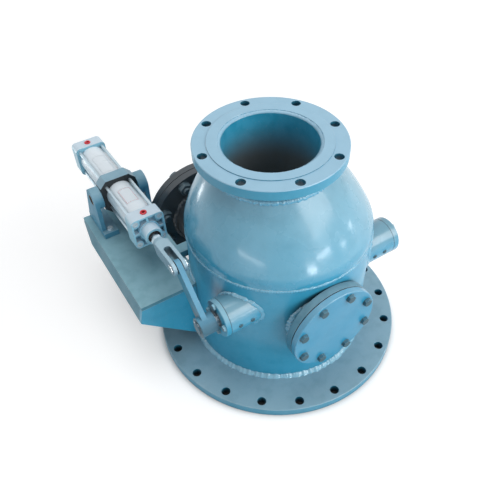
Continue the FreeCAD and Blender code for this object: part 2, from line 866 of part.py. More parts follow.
def flap_disc():
    """Disc with a chamfered edge, a back boss and the stud that carries the arm."""
    r = disc_d / 2
    low = disc_top_z - disc_thick
    c = disc_edge_chamfer
    stud_low = arm_top_z - arm_boss_thick - disc_stud_out
    disc = revolve_rz([
        (0.0, disc_top_z),
        (r, disc_top_z),
        (r, low + c),
        (r - c, low),
        (disc_boss_d / 2 + 4.0, low),
        (disc_boss_d / 2, low - 4.0),
        (disc_boss_d / 2, low - disc_boss_h),
        (disc_stud_d / 2, low - disc_boss_h),
        (disc_stud_d / 2, stud_low),
        (0.0, stud_low),
    ], Vector(inlet_x, inlet_y, 0))
    for p in clamp_screw_points(low + disc_edge_chamfer):
        disc = disc.cut(cylinder(m6 / 2, disc_thick, p))
    return hang(disc)


def flap_seal():
    base = Vector(inlet_x, inlet_y, disc_top_z)
    return hang(tube(seal_od / 2, clamp_od / 2, seal_thick, base))


def seal_clamp_ring():
    base = Vector(inlet_x, inlet_y, disc_top_z)
    ring = tube(clamp_od / 2, clamp_id / 2, clamp_thick, base)
    for p in clamp_screw_points(disc_top_z):
        ring = ring.cut(cylinder(m6 / 2, clamp_thick, p))
    return hang(ring)


def seal_screws():
    solids = []
    for p in clamp_screw_points(disc_top_z + clamp_thick):
        grip = clamp_thick + disc_thick - disc_edge_chamfer
        solids.append(hex_bolt(p, Z_AXIS * -1.0, m6, m6_af, m6_head, grip))
    return hang(Part.makeCompound(solids))


def disc_nut():
    """Washer and hexagon nut on the disc's stud, under the arm's tip."""
    low = arm_top_z - arm_boss_thick
    nut_z = low - disc_washer_h - disc_nut_h
    washer = cylinder(disc_washer_d / 2, disc_washer_h, Vector(inlet_x, inlet_y, low - disc_washer_h))
    nut = hexagon(disc_nut_af, disc_nut_h, Vector(inlet_x, inlet_y, nut_z))
    bore = cylinder(disc_stud_d / 2, low - nut_z, Vector(inlet_x, inlet_y, nut_z))
    return hang(washer.fuse(nut).cut(bore))


# Lever, drawn along +Y from the shaft centre

def key_block():
    z0 = journal_r - key_depth
    y_block = block(hub_outer_x - shaft_end_out, hub_inner_x, z0, z0 + key_h, -key_w / 2, key_w / 2)
    return y_block


def lever():
    """Keyed hub with the flat bar and its eye for the fork pin."""
    hub = cylinder(hub_d / 2, hub_len, Vector(hub_outer_x, 0, 0), X_AXIS)
    bar = tangent_link(lever_root_r, lever_eye_r, lever_len, lever_bar_thick)
    bar.translate(Vector(lever_x, 0, 0))
    solid = hub.fuse(bar)
    bore = cylinder(journal_r, hub_len, Vector(hub_outer_x, 0, 0), X_AXIS)
    eye_start = Vector(lever_x - lever_bar_thick / 2, lever_len, 0)
    eye = cylinder(fork_pin_d / 2, lever_bar_thick, eye_start, X_AXIS)
    return on_lever(solid.cut([bore, eye, key_block()]))


def lever_key():
    return on_lever(key_block())


def lever_pin():
    """Middle length of the fork pin, carried by the lever's eye."""
    start = Vector(lever_x - lever_bar_thick / 2, lever_len, 0)
    return on_lever(cylinder(fork_pin_d / 2, lever_bar_thick, start, X_AXIS))


# Fork and rod, drawn along +Y from the fork pin with the cylinder's axis

def fork():
    """Square fork turned down to a round shank, with its slot open at the front."""
    half = fork_w / 2
    body = block(-half, half, -fork_ear, fork_len, -half, half)
    ear_round = cylinder(half, fork_w, Vector(-half, 0, 0), X_AXIS)
    behind = block(-half, half, 0, fork_len, -half, half)
    body = body.common(ear_round.fuse(behind))
    turned = [(0.0, -fork_ear - 1), (2 * half, -fork_ear - 1), (2 * half, fork_len - fork_taper_len),
              (half * 1.02, fork_len - fork_nose_len), (half * 0.86, fork_len), (0.0, fork_len)]
    wire = Part.makePolygon([Vector(r, y, 0) for r, y in turned + turned[:1]])
    body = body.common(Part.Face(wire).revolve(Vector(0, 0, 0), Y_AXIS, 360))
    slot_half = fork_slot_w / 2
    slot = block(-slot_half, slot_half, -fork_ear - 1, fork_slot_depth - slot_half, -half, half)
    slot_end = cylinder(slot_half, fork_w, Vector(0, fork_slot_depth - slot_half, -half))
    pin_hole = cylinder(fork_pin_d / 2, fork_w, Vector(-half, 0, 0), X_AXIS)
    thread = cylinder(fork_thread_d / 2, fork_thread_len, Vector(0, fork_len - fork_thread_len, 0), Y_AXIS)
    return on_cylinder(body.cut([slot, slot_end, pin_hole, thread]))


def fork_pin_ends():
    """The two outer lengths of the fork pin, one in each ear, with their heads."""
    solids = []
    for side in (-1, 1):
        inner = lever_bar_thick / 2 + pin_eye_gap
        start = Vector(side * inner, 0, 0)
        stub = cylinder(fork_pin_d / 2, fork_w / 2 - inner, start, X_AXIS * side)
        head = cylinder(fork_pin_d / 2 + 2.5, pin_head_h, Vector(side * fork_w / 2, 0, 0), X_AXIS * side)
        solids.append(on_cylinder(stub.fuse(head)))
    return Part.makeCompound(solids)


def rod_nut():
    nut = hexagon(rod_nut_af, rod_nut_len, Vector(0, fork_len, 0), Y_AXIS)
    return on_cylinder(nut.cut(cylinder(fork_thread_d / 2, rod_nut_len, Vector(0, fork_len, 0), Y_AXIS)))


def piston_rod():
    """Thread in the fork, full rod through the gland, spigot in the piston."""
    thread_at = fork_len - fork_thread_len + 2.0
    full_at = fork_len + rod_nut_len + 1.0
    thread = cylinder(fork_thread_d / 2, full_at - thread_at, Vector(0, thread_at, 0), Y_AXIS)
    rod = cylinder(rod_d / 2, piston_at - full_at, Vector(0, full_at, 0), Y_AXIS)
    spigot = cylinder(fork_thread_d / 2, piston_thick, Vector(0, piston_at, 0), Y_AXIS)
    return on_cylinder(thread.fuse([rod, spigot]))


def piston():
    r = barrel_bore / 2 - running_gap
    solid = cylinder(r, piston_thick, Vector(0, piston_at, 0), Y_AXIS)
    for at in (0.25, 0.75):
        base = Vector(0, piston_at + at * piston_thick - 1.5, 0)
        solid = solid.cut(tube(r, r - 3.0, 3.0, base, Y_AXIS))
    spigot = cylinder(fork_thread_d / 2, piston_thick, Vector(0, piston_at, 0), Y_AXIS)
    return on_cylinder(solid.cut(spigot))


# Air cylinder

def rounded_square(width, radius, y0, length):
    half = width / 2
    box = block(-half, half, y0, y0 + length, -half, half)
    edges = [e for e in box.Edges if abs(e.BoundBox.YLength - length) < 0.01]
    return box.makeFillet(radius, edges)


def corner_points(y):
    h = tie_rod_pitch / 2
    return [Vector(-h, y, -h), Vector(h, y, -h), Vector(h, y, h), Vector(-h, y, h)]


def cap_pockets(face_y, inward, hub_r):
    """Casting pockets between the rim, the middle hub, the side ribs and the corners."""
    depth = cap_pocket_depth
    y0 = min(face_y, face_y + inward * depth)
    inner = cap_w / 2 - cap_rim
    pocket = block(-inner, inner, y0, y0 + depth, -inner, inner)
    keep = [cylinder(hub_r + 3.0, depth, Vector(0, y0, 0), Y_AXIS)]
    for p in corner_points(y0):
        keep.append(cylinder(corner_boss_r, depth, p, Y_AXIS))
        keep.append(block(min(p.x, p.x * 2), max(p.x, p.x * 2), y0, y0 + depth,
                          min(p.z, p.z * 2), max(p.z, p.z * 2)))
    keep.append(block(-cap_rib / 2, cap_rib / 2, y0, y0 + depth, -inner, inner))
    keep.append(block(-inner, inner, y0, y0 + depth, -cap_rib / 2, cap_rib / 2))
    return pocket.cut(keep)


def end_cap(y0, face_y, inward, hub_r):
    """Square end cap with pockets in its outer face, nut wells and an air port on top."""
    cap = rounded_square(cap_w, cap_corner_r, y0, cap_len)
    cuts = [cap_pockets(face_y, inward, hub_r)]
    for p in corner_points(y0):
        cuts.append(cylinder(tie_rod_d / 2, cap_len, p, Y_AXIS))
    for p in corner_points(face_y):
        cuts.append(cylinder(tie_nut_d / 2, tie_nut_len + 1.0, p, Y_AXIS * inward))
    mid_y = y0 + cap_len / 2
    cuts.append(cylinder(port_d / 2, 12.0, Vector(0, mid_y, cap_w / 2 - 12.0)))
    return cap.cut(cuts)


def front_end_cap():
    cap = end_cap(front_at, front_at, 1, nose_d / 2)
    nose = cylinder(nose_d / 2, nose_len, Vector(0, nose_at, 0), Y_AXIS)
    rim = [e for e in nose.Edges if abs(e.BoundBox.Center.y - nose_at) < 0.01 and e.BoundBox.YLength < 0.01]
    nose = nose.makeChamfer(1.5, rim)
    spigot = cylinder(barrel_bore / 2, 6.0, Vector(0, barrel_at, 0), Y_AXIS)
    bush_r = rod_d / 2 + rod_bush_wall
    length = barrel_at + 6.0 - nose_at
    bore = cylinder(bush_r, length, Vector(0, nose_at, 0), Y_AXIS)
    recess = cylinder(bush_r + 1.5, 5.0, Vector(0, nose_at, 0), Y_AXIS)
    return on_cylinder(cap.fuse([nose, spigot]).cut([bore, recess]))


def rear_end_cap():
    cap = end_cap(rear_cap_at, rear_at, -1, nose_d / 2)
    spigot = cylinder(barrel_bore / 2, 2.0, Vector(0, rear_cap_at - 2.0, 0), Y_AXIS)
    return on_cylinder(cap.fuse(spigot))


def cylinder_barrel():
    return on_cylinder(tube(barrel_r, barrel_bore / 2, barrel_len, Vector(0, barrel_at, 0), Y_AXIS))


def tie_rods():
    solids = []
    start = front_at + 2.0
    for p in corner_points(start):
        solids.append(on_cylinder(cylinder(tie_rod_d / 2, rear_at - 2.0 - start, p, Y_AXIS)))
    return Part.makeCompound(solids)


def tie_rod_nuts():
    """Round socket nuts sunk in the corners of both end caps."""
    solids = []
    for y, inward in ((front_at, 1), (rear_at, -1)):
        for p in corner_points(y + inward):
            axis = Y_AXIS * inward
            nut = cylinder(tie_nut_d / 2, tie_nut_len, p, axis)
            nut = nut.cut(cylinder(tie_rod_d / 2, tie_nut_len - 1.0, p + axis, axis))
            nut = nut.cut(hexagon(6.0, 3.0, p, axis))
            solids.append(on_cylinder(nut))
    return Part.makeCompound(solids)


def rod_bush():
    inner = rod_d / 2 + running_gap
    start = Vector(0, nose_at + 5.0, 0)
    length = barrel_at + 4.0 - start.y
    return on_cylinder(tube(rod_d / 2 + rod_bush_wall, inner, length, start, Y_AXIS))


def port_plugs():
    """Push-in plugs with a sunk centre in the air ports of both end caps."""
    solids = []
    for y in (front_at + cap_len / 2, rear_cap_at + cap_len / 2):
        stem = cylinder(port_d / 2, 10.0, Vector(0, y, cap_w / 2 - 10.0))
        head = cylinder(plug_d / 2, plug_proud, Vector(0, y, cap_w / 2))
        well = cylinder(plug_d / 4, plug_proud + 4.0, Vector(0, y, cap_w / 2 - 4.0))
        solids.append(on_cylinder(stem.fuse(head).cut(well)))
    return Part.makeCompound(solids)


def trunnion_block():
    """Chamfered block clamped round the barrel, with its two turned pins."""
    half = trunnion_w / 2
    y0 = trunnion_at - trunnion_len / 2
    box = block(-half, half, y0, y0 + trunnion_len, -half, half)
    edges = [e for e in box.Edges if abs(e.BoundBox.YLength - trunnion_len) < 0.01]
    box = box.makeChamfer(trunnion_chamfer, edges)
    pins = []
    for side in (-1, 1):
        start = Vector(side * half, trunnion_at, 0)
        length = support_gap + support_boss_len - 2.0
        pins.append(cylinder(trunnion_pin_d / 2, length, start, X_AXIS * side))
    cuts = [cylinder(barrel_r, trunnion_len, Vector(0, y0, 0), Y_AXIS)]
    for p in corner_points(y0):
        cuts.append(cylinder(tie_rod_d / 2, trunnion_len, p, Y_AXIS))
    return on_cylinder(box.fuse(pins).cut(cuts))


# Trunnion supports and bracket

bush_outer_r = trunnion_pin_d / 2 + 3.0


def tangent_point(py, pz, radius, side):
    """Point where a line from (py, pz) touches a circle at the origin."""
    d = math.hypot(py, pz)
    base = math.atan2(pz, py)
    a = base + side * math.acos(radius / d)
    return radius * math.cos(a), radius * math.sin(a)


def trunnion_support(side):
    """Pedestal: foot plate, bearing boss, and a web that is upright in front and raked behind."""
    boss_x = lever_x + side * support_in
    web_near = support_out - support_web_thick
    low = -support_height + support_foot_thick
    behind = support_foot_behind - support_web_setback
    by, bz = tangent_point(behind, low, support_boss_r, 1)
    points = [(-support_boss_r, low), (behind, low), (by, bz), (0.0, 0.0), (-support_boss_r, 0.0)]
    wire = [Vector(0, y, z) for y, z in points]
    web = Part.Face(Part.makePolygon(wire + wire[:1])).extrude(Vector(side * support_web_thick, 0, 0))
    web.translate(Vector(lever_x + side * web_near, trunnion_y, trunnion_z))
    centre = Vector(boss_x, trunnion_y, trunnion_z)
    boss = cylinder(support_boss_r, support_boss_len, centre, X_AXIS * side)
    xs = sorted([lever_x + side * (support_in - support_foot_in), lever_x + side * support_out])
    foot = block(xs[0], xs[1], trunnion_y - support_foot_front, trunnion_y + support_foot_behind,
                 bracket_z, bracket_z + support_foot_thick)
    solid = web.fuse([boss, foot])
    cuts = [cylinder(bush_outer_r, support_boss_len, centre, X_AXIS * side)]
    for p in support_bolt_points(side, bracket_z):
        cuts.append(cylinder(m8 / 2, support_foot_thick, p))
    return solid.cut(cuts).removeSplitter()


def support_bolt_points(side, z):
    x = lever_x + side * (support_in + support_bolt_in)
    return [Vector(x, trunnion_y - support_bolt_front, z), Vector(x, trunnion_y + support_bolt_behind, z)]


def trunnion_supports():
    return Part.makeCompound([trunnion_support(-1), trunnion_support(1)])


def trunnion_bushes():
    solids = []
    for side in (-1, 1):
        start = Vector(lever_x + side * support_in, trunnion_y, trunnion_z)
        inner = trunnion_pin_d / 2 + running_gap
        solids.append(tube(bush_outer_r, inner, support_boss_len, start, X_AXIS * side))
    return Part.makeCompound(solids)


def support_bolts():
    """Bolts through foot and plate with a nut below."""
    solids = []
    grip = support_foot_thick + bracket_thick
    for side in (-1, 1):
        for p in support_bolt_points(side, bracket_z + support_foot_thick):
            bolt = hex_bolt(p, Z_AXIS * -1.0, m8, m8_af, m8_head, grip + m8)
            nut = hexagon(m8_af, m8_head + 1.0, p - Z_AXIS * grip, Z_AXIS * -1.0)
            solids.append(bolt.fuse(nut))
    return Part.makeCompound(solids)


def shell_envelope():
    return cylinder(shell_r, shell_height, Vector(0, 0, shell_setback))


def bracket_plate():
    """Top plate, coped to the shell, with the tie block that reaches on to the shell."""
    x0 = bracket_outer_x
    x1 = bracket_inner_x
    plate = block(x0, x1, bracket_front_y, bracket_rear_y, bracket_z - bracket_thick, bracket_z)
    tie_y = bracket_front_y + tie_block_at - tie_block_w / 2
    tie = block(x1 - tie_block_lap, -shell_r / 2, tie_y, tie_y + tie_block_w, bracket_z, bracket_z + tie_block_h)
    plate = plate.fuse(tie).cut(shell_envelope())
    for side in (-1, 1):
        for p in support_bolt_points(side, bracket_z - bracket_thick):
            plate = plate.cut(cylinder(m8 / 2, bracket_thick, p))
    return plate


def bracket_skirts():
    """Side plate, flared outwards and cut back behind, and a cross plate under the top plate."""
    top = bracket_z - bracket_thick
    front = bracket_front_y + gusset_thick
    x0 = bracket_outer_x
    profile = [
        Vector(x0, front, top),
        Vector(x0 + skirt_thick, front, top),
        Vector(x0 + skirt_thick - skirt_flare, front, skirt_low_z),
        Vector(x0 - skirt_flare, front, skirt_low_z),
    ]
    side = Part.Face(Part.makePolygon(profile + profile[:1])).extrude(Vector(0, bracket_rear_y - front, 0))
    corner = [
        Vector(x0 - 2 * skirt_flare, bracket_rear_y, top - 5.0),
        Vector(x0 - 2 * skirt_flare, bracket_rear_y + 1.0, skirt_low_z - 1.0),
        Vector(x0 - 2 * skirt_flare, bracket_rear_y - skirt_rear_cut, skirt_low_z - 1.0),
    ]
    side = side.cut(Part.Face(Part.makePolygon(corner + corner[:1])).extrude(Vector(4 * skirt_flare, 0, 0)))
    cross_y = bracket_rear_y - skirt_rear_cut - skirt_thick
    cross_x = outlet_x - outlet_flange_od / 2 - cross_plate_gap
    outline = [
        Vector(x0 + skirt_thick, cross_y, top),
        Vector(cross_x, cross_y, top),
        Vector(cross_x, cross_y, skirt_low_z),
        Vector(x0 + skirt_thick - skirt_flare, cross_y, skirt_low_z),
    ]
    cross = Part.Face(Part.makePolygon(outline + outline[:1])).extrude(Vector(0, skirt_thick, 0))
    return side.fuse(cross).removeSplitter()


def bracket_gussets():
    """Two tapered plates standing on the shell that carry the top plate."""
    top = bracket_z - bracket_thick
    foot_z = base_thick + gusset_foot
    inner_x = -0.55 * shell_r
    solids = []
    for i in range(2):
        y = bracket_front_y + i * gusset_pitch
        start = bracket_outer_x + i * skirt_thick
        points = [
            Vector(start, y, top),
            Vector(start - skirt_flare, y, skirt_low_z),
            Vector(-shell_r, y, foot_z),
            Vector(inner_x, y, foot_z),
            Vector(inner_x, y, top),
        ]
        plate = Part.Face(Part.makePolygon(points + points[:1])).extrude(Vector(0, gusset_thick, 0))
        solids.append(plate.cut(shell_envelope()))
    return Part.makeCompound(solids)


NODES = {
    "base_flange": base_flange,
    "body_shell_front": lambda: shell_half(-1),
    "body_shell_back": lambda: shell_half(1),
    "dome_head": dome_head,
    "base_weld": base_weld,
    "seam_weld": seam_weld,
    "inlet_pipe": inlet_pipe,
    "inlet_flange": inlet_flange,
    "neck_weld": neck_weld,
    "seat_ring": seat_ring,
    "drive_bearing_housing": drive_bearing_housing,
    "idle_bearing_housing": idle_bearing_housing,
    "drive_bush": lambda: bush(-housing_inner_x - bush_len),
    "idle_bush": lambda: bush(housing_inner_x),
    "shaft_packing": shaft_packing,
    "gland_flange": gland_flange,
    "gland_bolts": gland_screws,
    "idle_end_cover": idle_end_cover,
    "idle_cover_screws": idle_cover_screws,
    "housing_plugs": set_screws,
    "inspection_nozzle": inspection_nozzle,
    "inspection_flange": inspection_flange,
    "inspection_gasket": inspection_gasket,
    "inspection_cover": inspection_cover,
    "inspection_bolts": inspection_screws,
    "outlet_nozzle": outlet_nozzle,
    "outlet_flange": outlet_flange,
    "outlet_gasket": outlet_gasket,
    "outlet_cover": outlet_cover,
    "outlet_bolts": outlet_studs,
    "bracket_plate": bracket_plate,
    "bracket_skirts": bracket_skirts,
    "bracket_gussets": bracket_gussets,
    "trunnion_supports": trunnion_supports,
    "trunnion_bushes": trunnion_bushes,
    "support_bolts": support_bolts,
    "shaft": shaft,
    "flap_arm": flap_arm,
    "arm_pins": arm_pins,
    "flap_disc": flap_disc,
    "flap_seal": flap_seal,
    "seal_clamp_ring": seal_clamp_ring,
    "seal_screws": seal_screws,
    "disc_nut": disc_nut,
    "lever": lever,
    "lever_key": lever_key,
    "lever_pin": lever_pin,
    "fork": fork,
    "fork_pin_ends": fork_pin_ends,
    "rod_nut": rod_nut,
    "piston_rod": piston_rod,
    "piston": piston,
    "cylinder_barrel": cylinder_barrel,
    "front_end_cap": front_end_cap,
    "rear_end_cap": rear_end_cap,
    "tie_rods": tie_rods,
    "tie_rod_nuts": tie_rod_nuts,
    "rod_bush": rod_bush,
    "port_plugs": port_plugs,
    "trunnion_block": trunnion_block,
}

os.makedirs("parts", exist_ok=True)
for name, make in NODES.items():
    make().exportStep("parts/" + name + ".step")
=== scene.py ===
import json
import math

import bmesh
import bpy
import numpy as np
from mathutils import Matrix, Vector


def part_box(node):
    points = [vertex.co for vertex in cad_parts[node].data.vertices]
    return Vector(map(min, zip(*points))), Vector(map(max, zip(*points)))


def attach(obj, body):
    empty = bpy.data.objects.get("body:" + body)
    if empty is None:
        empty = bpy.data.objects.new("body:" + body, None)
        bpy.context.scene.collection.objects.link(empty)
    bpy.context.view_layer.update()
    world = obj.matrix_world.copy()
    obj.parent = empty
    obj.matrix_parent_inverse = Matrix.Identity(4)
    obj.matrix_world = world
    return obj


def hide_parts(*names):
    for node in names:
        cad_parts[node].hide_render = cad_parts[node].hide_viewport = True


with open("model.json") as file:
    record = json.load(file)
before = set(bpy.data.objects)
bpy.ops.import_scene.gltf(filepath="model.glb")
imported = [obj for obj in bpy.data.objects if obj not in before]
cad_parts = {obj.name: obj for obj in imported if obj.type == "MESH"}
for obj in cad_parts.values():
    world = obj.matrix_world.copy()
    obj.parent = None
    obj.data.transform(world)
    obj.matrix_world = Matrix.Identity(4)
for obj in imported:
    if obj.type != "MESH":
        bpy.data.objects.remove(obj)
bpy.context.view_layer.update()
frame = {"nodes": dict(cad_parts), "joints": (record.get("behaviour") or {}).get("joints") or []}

bl_info = {
    "name": "Flap valve looks",
    "version": (1, 0, 0),
    "blender": (4, 5, 0),
    "location": "View3D > Sidebar > Flap valve",
    "description": "Paint, weld beads, fasteners and fittings on the packed flap valve",
    "category": "Object",
}

MM = 0.001
NODES = frame["nodes"]

# Filled when the finishes are made
GROUPS = {}
MATERIALS = {}


def box(node):
    """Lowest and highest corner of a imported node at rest."""
    low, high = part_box(node)
    return np.array(low), np.array(high)


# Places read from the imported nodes, in metres
SHELL_HIGH = box("body_shell_back")[1]
SHELL_R = float(SHELL_HIGH[0])
SEAM_Z = float(SHELL_HIGH[2])
BASE_TOP = float(box("base_flange")[1][2])
FLANGE_LOW, FLANGE_HIGH = box("inlet_flange")
INLET_XY = (FLANGE_LOW + FLANGE_HIGH)[:2] / 2
FLANGE_UNDER = float(FLANGE_LOW[2])
PIPE_HIGH = box("inlet_pipe")[1]
PIPE_R = float(PIPE_HIGH[0] - INLET_XY[0])
DOME_TOP = float(box("dome_head")[1][2])
SKIRT = SEAM_Z + 13 * MM
COVER_LOW, COVER_HIGH = box("idle_end_cover")
SHAFT_YZ = (COVER_LOW + COVER_HIGH)[1:] / 2
HOUSING_R = float(COVER_HIGH[1] - COVER_LOW[1]) / 2
GLAND_LOW = box("gland_flange")[0]
SHAFT_LOW, SHAFT_HIGH = box("shaft")
HOUSING_END = float(box("drive_bearing_housing")[0][0])
INSPECT_LOW, INSPECT_HIGH = box("inspection_cover")
INSPECT = (INSPECT_LOW + INSPECT_HIGH) / 2
INSPECT_BACK = float(box("inspection_flange")[1][1])
OUTLET_LOW, OUTLET_HIGH = box("outlet_cover")
OUTLET = (OUTLET_LOW + OUTLET_HIGH) / 2
OUTLET_BACK = float(box("outlet_flange")[0][1])
NOZZLE_LOW, NOZZLE_HIGH = box("outlet_nozzle")
NOZZLE_R = float(NOZZLE_HIGH[0] - NOZZLE_LOW[0]) / 2
BRACKET_LOW = box("bracket_plate")[0]
BOLTS_LOW, BOLTS_HIGH = box("support_bolts")
PIN_LOW, PIN_HIGH = box("lever_pin")
PIN = (PIN_LOW + PIN_HIGH) / 2
ROD_AXIS = -np.array([j for j in frame["joints"] if j["name"] == "rod_extend"][0]["axis"], float)

# Radii of the bolt circles
INSPECT_BOLT_R = 92 * MM
END_BOLT_R = 35 * MM
OUTLET_BOLT_R = 120 * MM

# Places along the air cylinder's axis, counted from the fork pin
NOSE_ALONG = 117 * MM
PORTS_ALONG = (162.5 * MM, 523.5 * MM)

# Distances from that axis, and half of a label's width
PORT_FACE = 40 * MM
LABEL_R = 35.03 * MM
LABEL_HALF = 17 * MM

# How deep a drawn thread starts inside its nut
THREAD_SUNK = 0.5 * MM


# Shapes as arrays of points and faces

def unit(v):
    """Each row divided by its own length."""
    v = np.asarray(v, float)
    return v / np.linalg.norm(v, axis=-1, keepdims=True)


def square_to(axis):
    """Two unit directions square to axis and to each other."""
    axis = unit(axis)
    side = np.array([1.0, 0, 0]) if abs(axis[0]) < 0.9 else np.array([0, 1.0, 0])
    u = unit(np.cross(side, axis))
    return u, np.cross(axis, u), axis


def loop_faces(rows, columns, close_rows):
    """Quads of a grid whose columns close on themselves, and its rows too where asked."""
    r = np.arange(rows if close_rows else rows - 1)[:, None]
    c = np.arange(columns)[None, :]
    r2 = (r + 1) % rows
    c2 = (c + 1) % columns
    quads = np.stack([r * columns + c, r * columns + c2, r2 * columns + c2, r2 * columns + c], -1)
    return quads.reshape(-1, 4)


def round_angles(count):
    """Even angles once round a circle, from 0."""
    return np.arange(count) * 2 * math.pi / count


def rings(centre, axis, along, radius, angle):
    """Rings on one axis: point = centre + along * axis + radius * (u cos angle + v sin angle).

    along has one row a ring. radius has one row a ring, and one column or one for each angle.
    """
    u, v, w = square_to(axis)
    circle = np.cos(angle)[:, None] * u + np.sin(angle)[:, None] * v
    points = np.asarray(centre, float) + along[:, None, None] * w + radius[:, :, None] * circle
    return points.reshape(-1, 3), loop_faces(len(along), len(angle), False)


def turned(profile, centre, axis, segments):
    """Surface of revolution of a profile whose rows are (radius, along), from pole to pole
    or closed on itself."""
    profile = np.asarray(profile, float)
    return rings(centre, axis, profile[:, 1], profile[:, :1], round_angles(segments))


def hex_head(seat, out, across, height, turn):
    """Hexagon head: at angle t and height h the radius is the smaller of the
    hexagon's own radius and a cone that opens downwards from the top face."""
    t = round_angles(60)
    flat = (t + math.pi / 6) % (math.pi / 3) - math.pi / 6
    hexagon = across / 2 / np.cos(flat)
    drop = np.array([1, 1, 0.062, 0.05, 0.038, 0.026, 0.013, 0, 0, 0]) * across
    h = np.clip(height - drop, 0, None)
    h[0] = h[1] = 0
    chamfer = math.radians(25)
    cone = 0.475 * across + (height - h) / math.tan(chamfer)
    cone[0] = cone[-1] = 0
    cone[-2] = 0.43 * across
    return rings(seat, out, h, np.minimum(hexagon[None, :], cone[:, None]), t + turn)


def washer(seat, out, across, thick):
    """Flat disc with eased rims under a head."""
    r, ease = 0.6 * across, 0.25 * thick
    profile = [(0, 0), (r - ease, 0), (r, ease), (r, thick - ease), (r - ease, thick), (0, thick)]
    return turned(profile, seat, out, 40)


def thread(start, out, radius, pitch, length):
    """Screw thread: radius(t, z) = r0 - 0.9 depth * triangle wave of (z / pitch - t / 2 pi),
    drawn in by a 45 degree cone over the last depth of its length."""
    depth = 0.6 * pitch
    t = round_angles(36)
    z = np.linspace(0, length, max(6, int(length / pitch * 8)))
    phase = (z[:, None] / pitch - t[None, :] / (2 * math.pi)) % 1
    r = radius - depth * np.abs(2 * phase - 1) * 0.9
    r = np.minimum(r, radius - np.clip(z[:, None] - (length - depth), 0, None))
    r = np.vstack([0 * t, r, 0 * t])
    return rings(start, out, np.concatenate([[0], z, [length]]), r, t)


def together(shapes):
    """Several vertex and face arrays as one."""
    points, faces, at = [], [], 0
    for p, f in shapes:
        points.append(p)
        faces.append(f + at)
        at += len(p)
    return np.vstack(points), np.vstack(faces)


def bolt_circle(centre, normal, radius, count, turn):
    """Points on a circle; turn counts from +X about Y, and from +Y about X."""
    a = math.radians(turn) + round_angles(count)
    c, s, o = np.cos(a) * radius, np.sin(a) * radius, np.zeros(count)
    offset = {"x": (o, c, s), "y": (c, o, s)}[normal]
    return np.asarray(centre, float) + np.stack(offset, -1)


def bead(root, side_a, side_b, leg_a, leg_b, crown, pitch, closed=True, out=None, waver=1.0, coins=1.0):
    """Weld bead laid along the line root, between surfaces that leave it along a and b.

    With s the length run and t from 0 to 1 across the bead, its point is
    root + (1 - t) leg_a a + t leg_b b + 4 t (1 - t) crown out, where out is given or the
    unit sum of a and b. Slow sines of s and smoothed random numbers swell the legs by waver,
    and a ripple of s / pitch that lags by (2t - 1) squared stacks the crests like coins.
    An open bead narrows over the last 6 mm at each end.
    """
    step = np.linalg.norm(np.roll(root, -1, 0) - root, axis=1)
    s = np.concatenate([[0], np.cumsum(step)[:-1]])
    total = float(step.sum() if closed else s[-1])
    if out is None:
        out = unit(side_a + side_b)
    turns = s / total * 2 * math.pi
    # Whole waves of about 61 mm and 23 mm, so that a closed bead meets itself
    long_waves, short_waves = round(total / MM / 61), round(total / MM / 23)
    wave = 0.10 * np.sin(turns * long_waves + 0.7) + 0.08 * np.sin(turns * short_waves + 2.1)
    spots = np.random.default_rng(len(s)).standard_normal(len(s))
    span = max(3, int(4.5 * MM / (total / len(s))))
    spots = np.convolve(np.tile(spots, 3), np.hanning(2 * span + 1), "same")[len(s):2 * len(s)]
    wave = waver * (wave + 0.09 * spots / spots.std())
    t = np.linspace(0, 1, 9)
    lag = (2 * t[None, :] - 1) ** 2 * 2.2
    ripple = np.sin(turns[:, None] * round(total / pitch) - lag)
    swell = (1 + wave)[:, None]
    if not closed:
        end = np.minimum(s, total - s)
        swell = np.clip(swell, 0.3, 2) * np.clip(end / (6 * MM), 0.04, 1)[:, None] ** 0.5
    la = np.broadcast_to(leg_a, s.shape)[:, None] * swell
    lb = np.broadcast_to(leg_b, s.shape)[:, None] * (swell - 0.8 * np.roll(wave, 7)[:, None] * np.clip(swell, 0, 1))
    height = 4 * t * (1 - t) * crown * (swell + 0.13 * coins * ripple) + 0.05 * coins * crown * ripple
    skin = (root[:, None] + ((1 - t) * la)[..., None] * side_a[:, None] + (t * lb)[..., None] * side_b[:, None]
            + height[..., None] * out[:, None])
    under = (root - 0.6 * MM * out)[:, None]
    points = np.concatenate([skin, under], 1)
    return points.reshape(-1, 3), loop_faces(len(root), points.shape[1], closed)


def saddle(along, sign, centre, radius, count):
    """Line where a round branch along X or Y meets the shell, and the two
    directions that leave it: out along the branch, and away along the shell."""
    a = round_angles(count)
    across = centre[0] + radius * np.cos(a)
    z = centre[1] + radius * np.sin(a)
    reach = sign * np.sqrt(SHELL_R ** 2 - across ** 2)
    o = np.zeros(count)
    if along == "x":
        root = np.stack([reach, across, z], -1)
        branch = np.stack([o, np.cos(a), np.sin(a)], -1)
    else:
        root = np.stack([across, reach, z], -1)
        branch = np.stack([np.cos(a), o, np.sin(a)], -1)
    shell = unit(root * [1, 1, 0])
    dot = np.sum(shell * branch, -1, keepdims=True)
    return root, unit(shell - dot * branch), unit(branch - dot * shell)


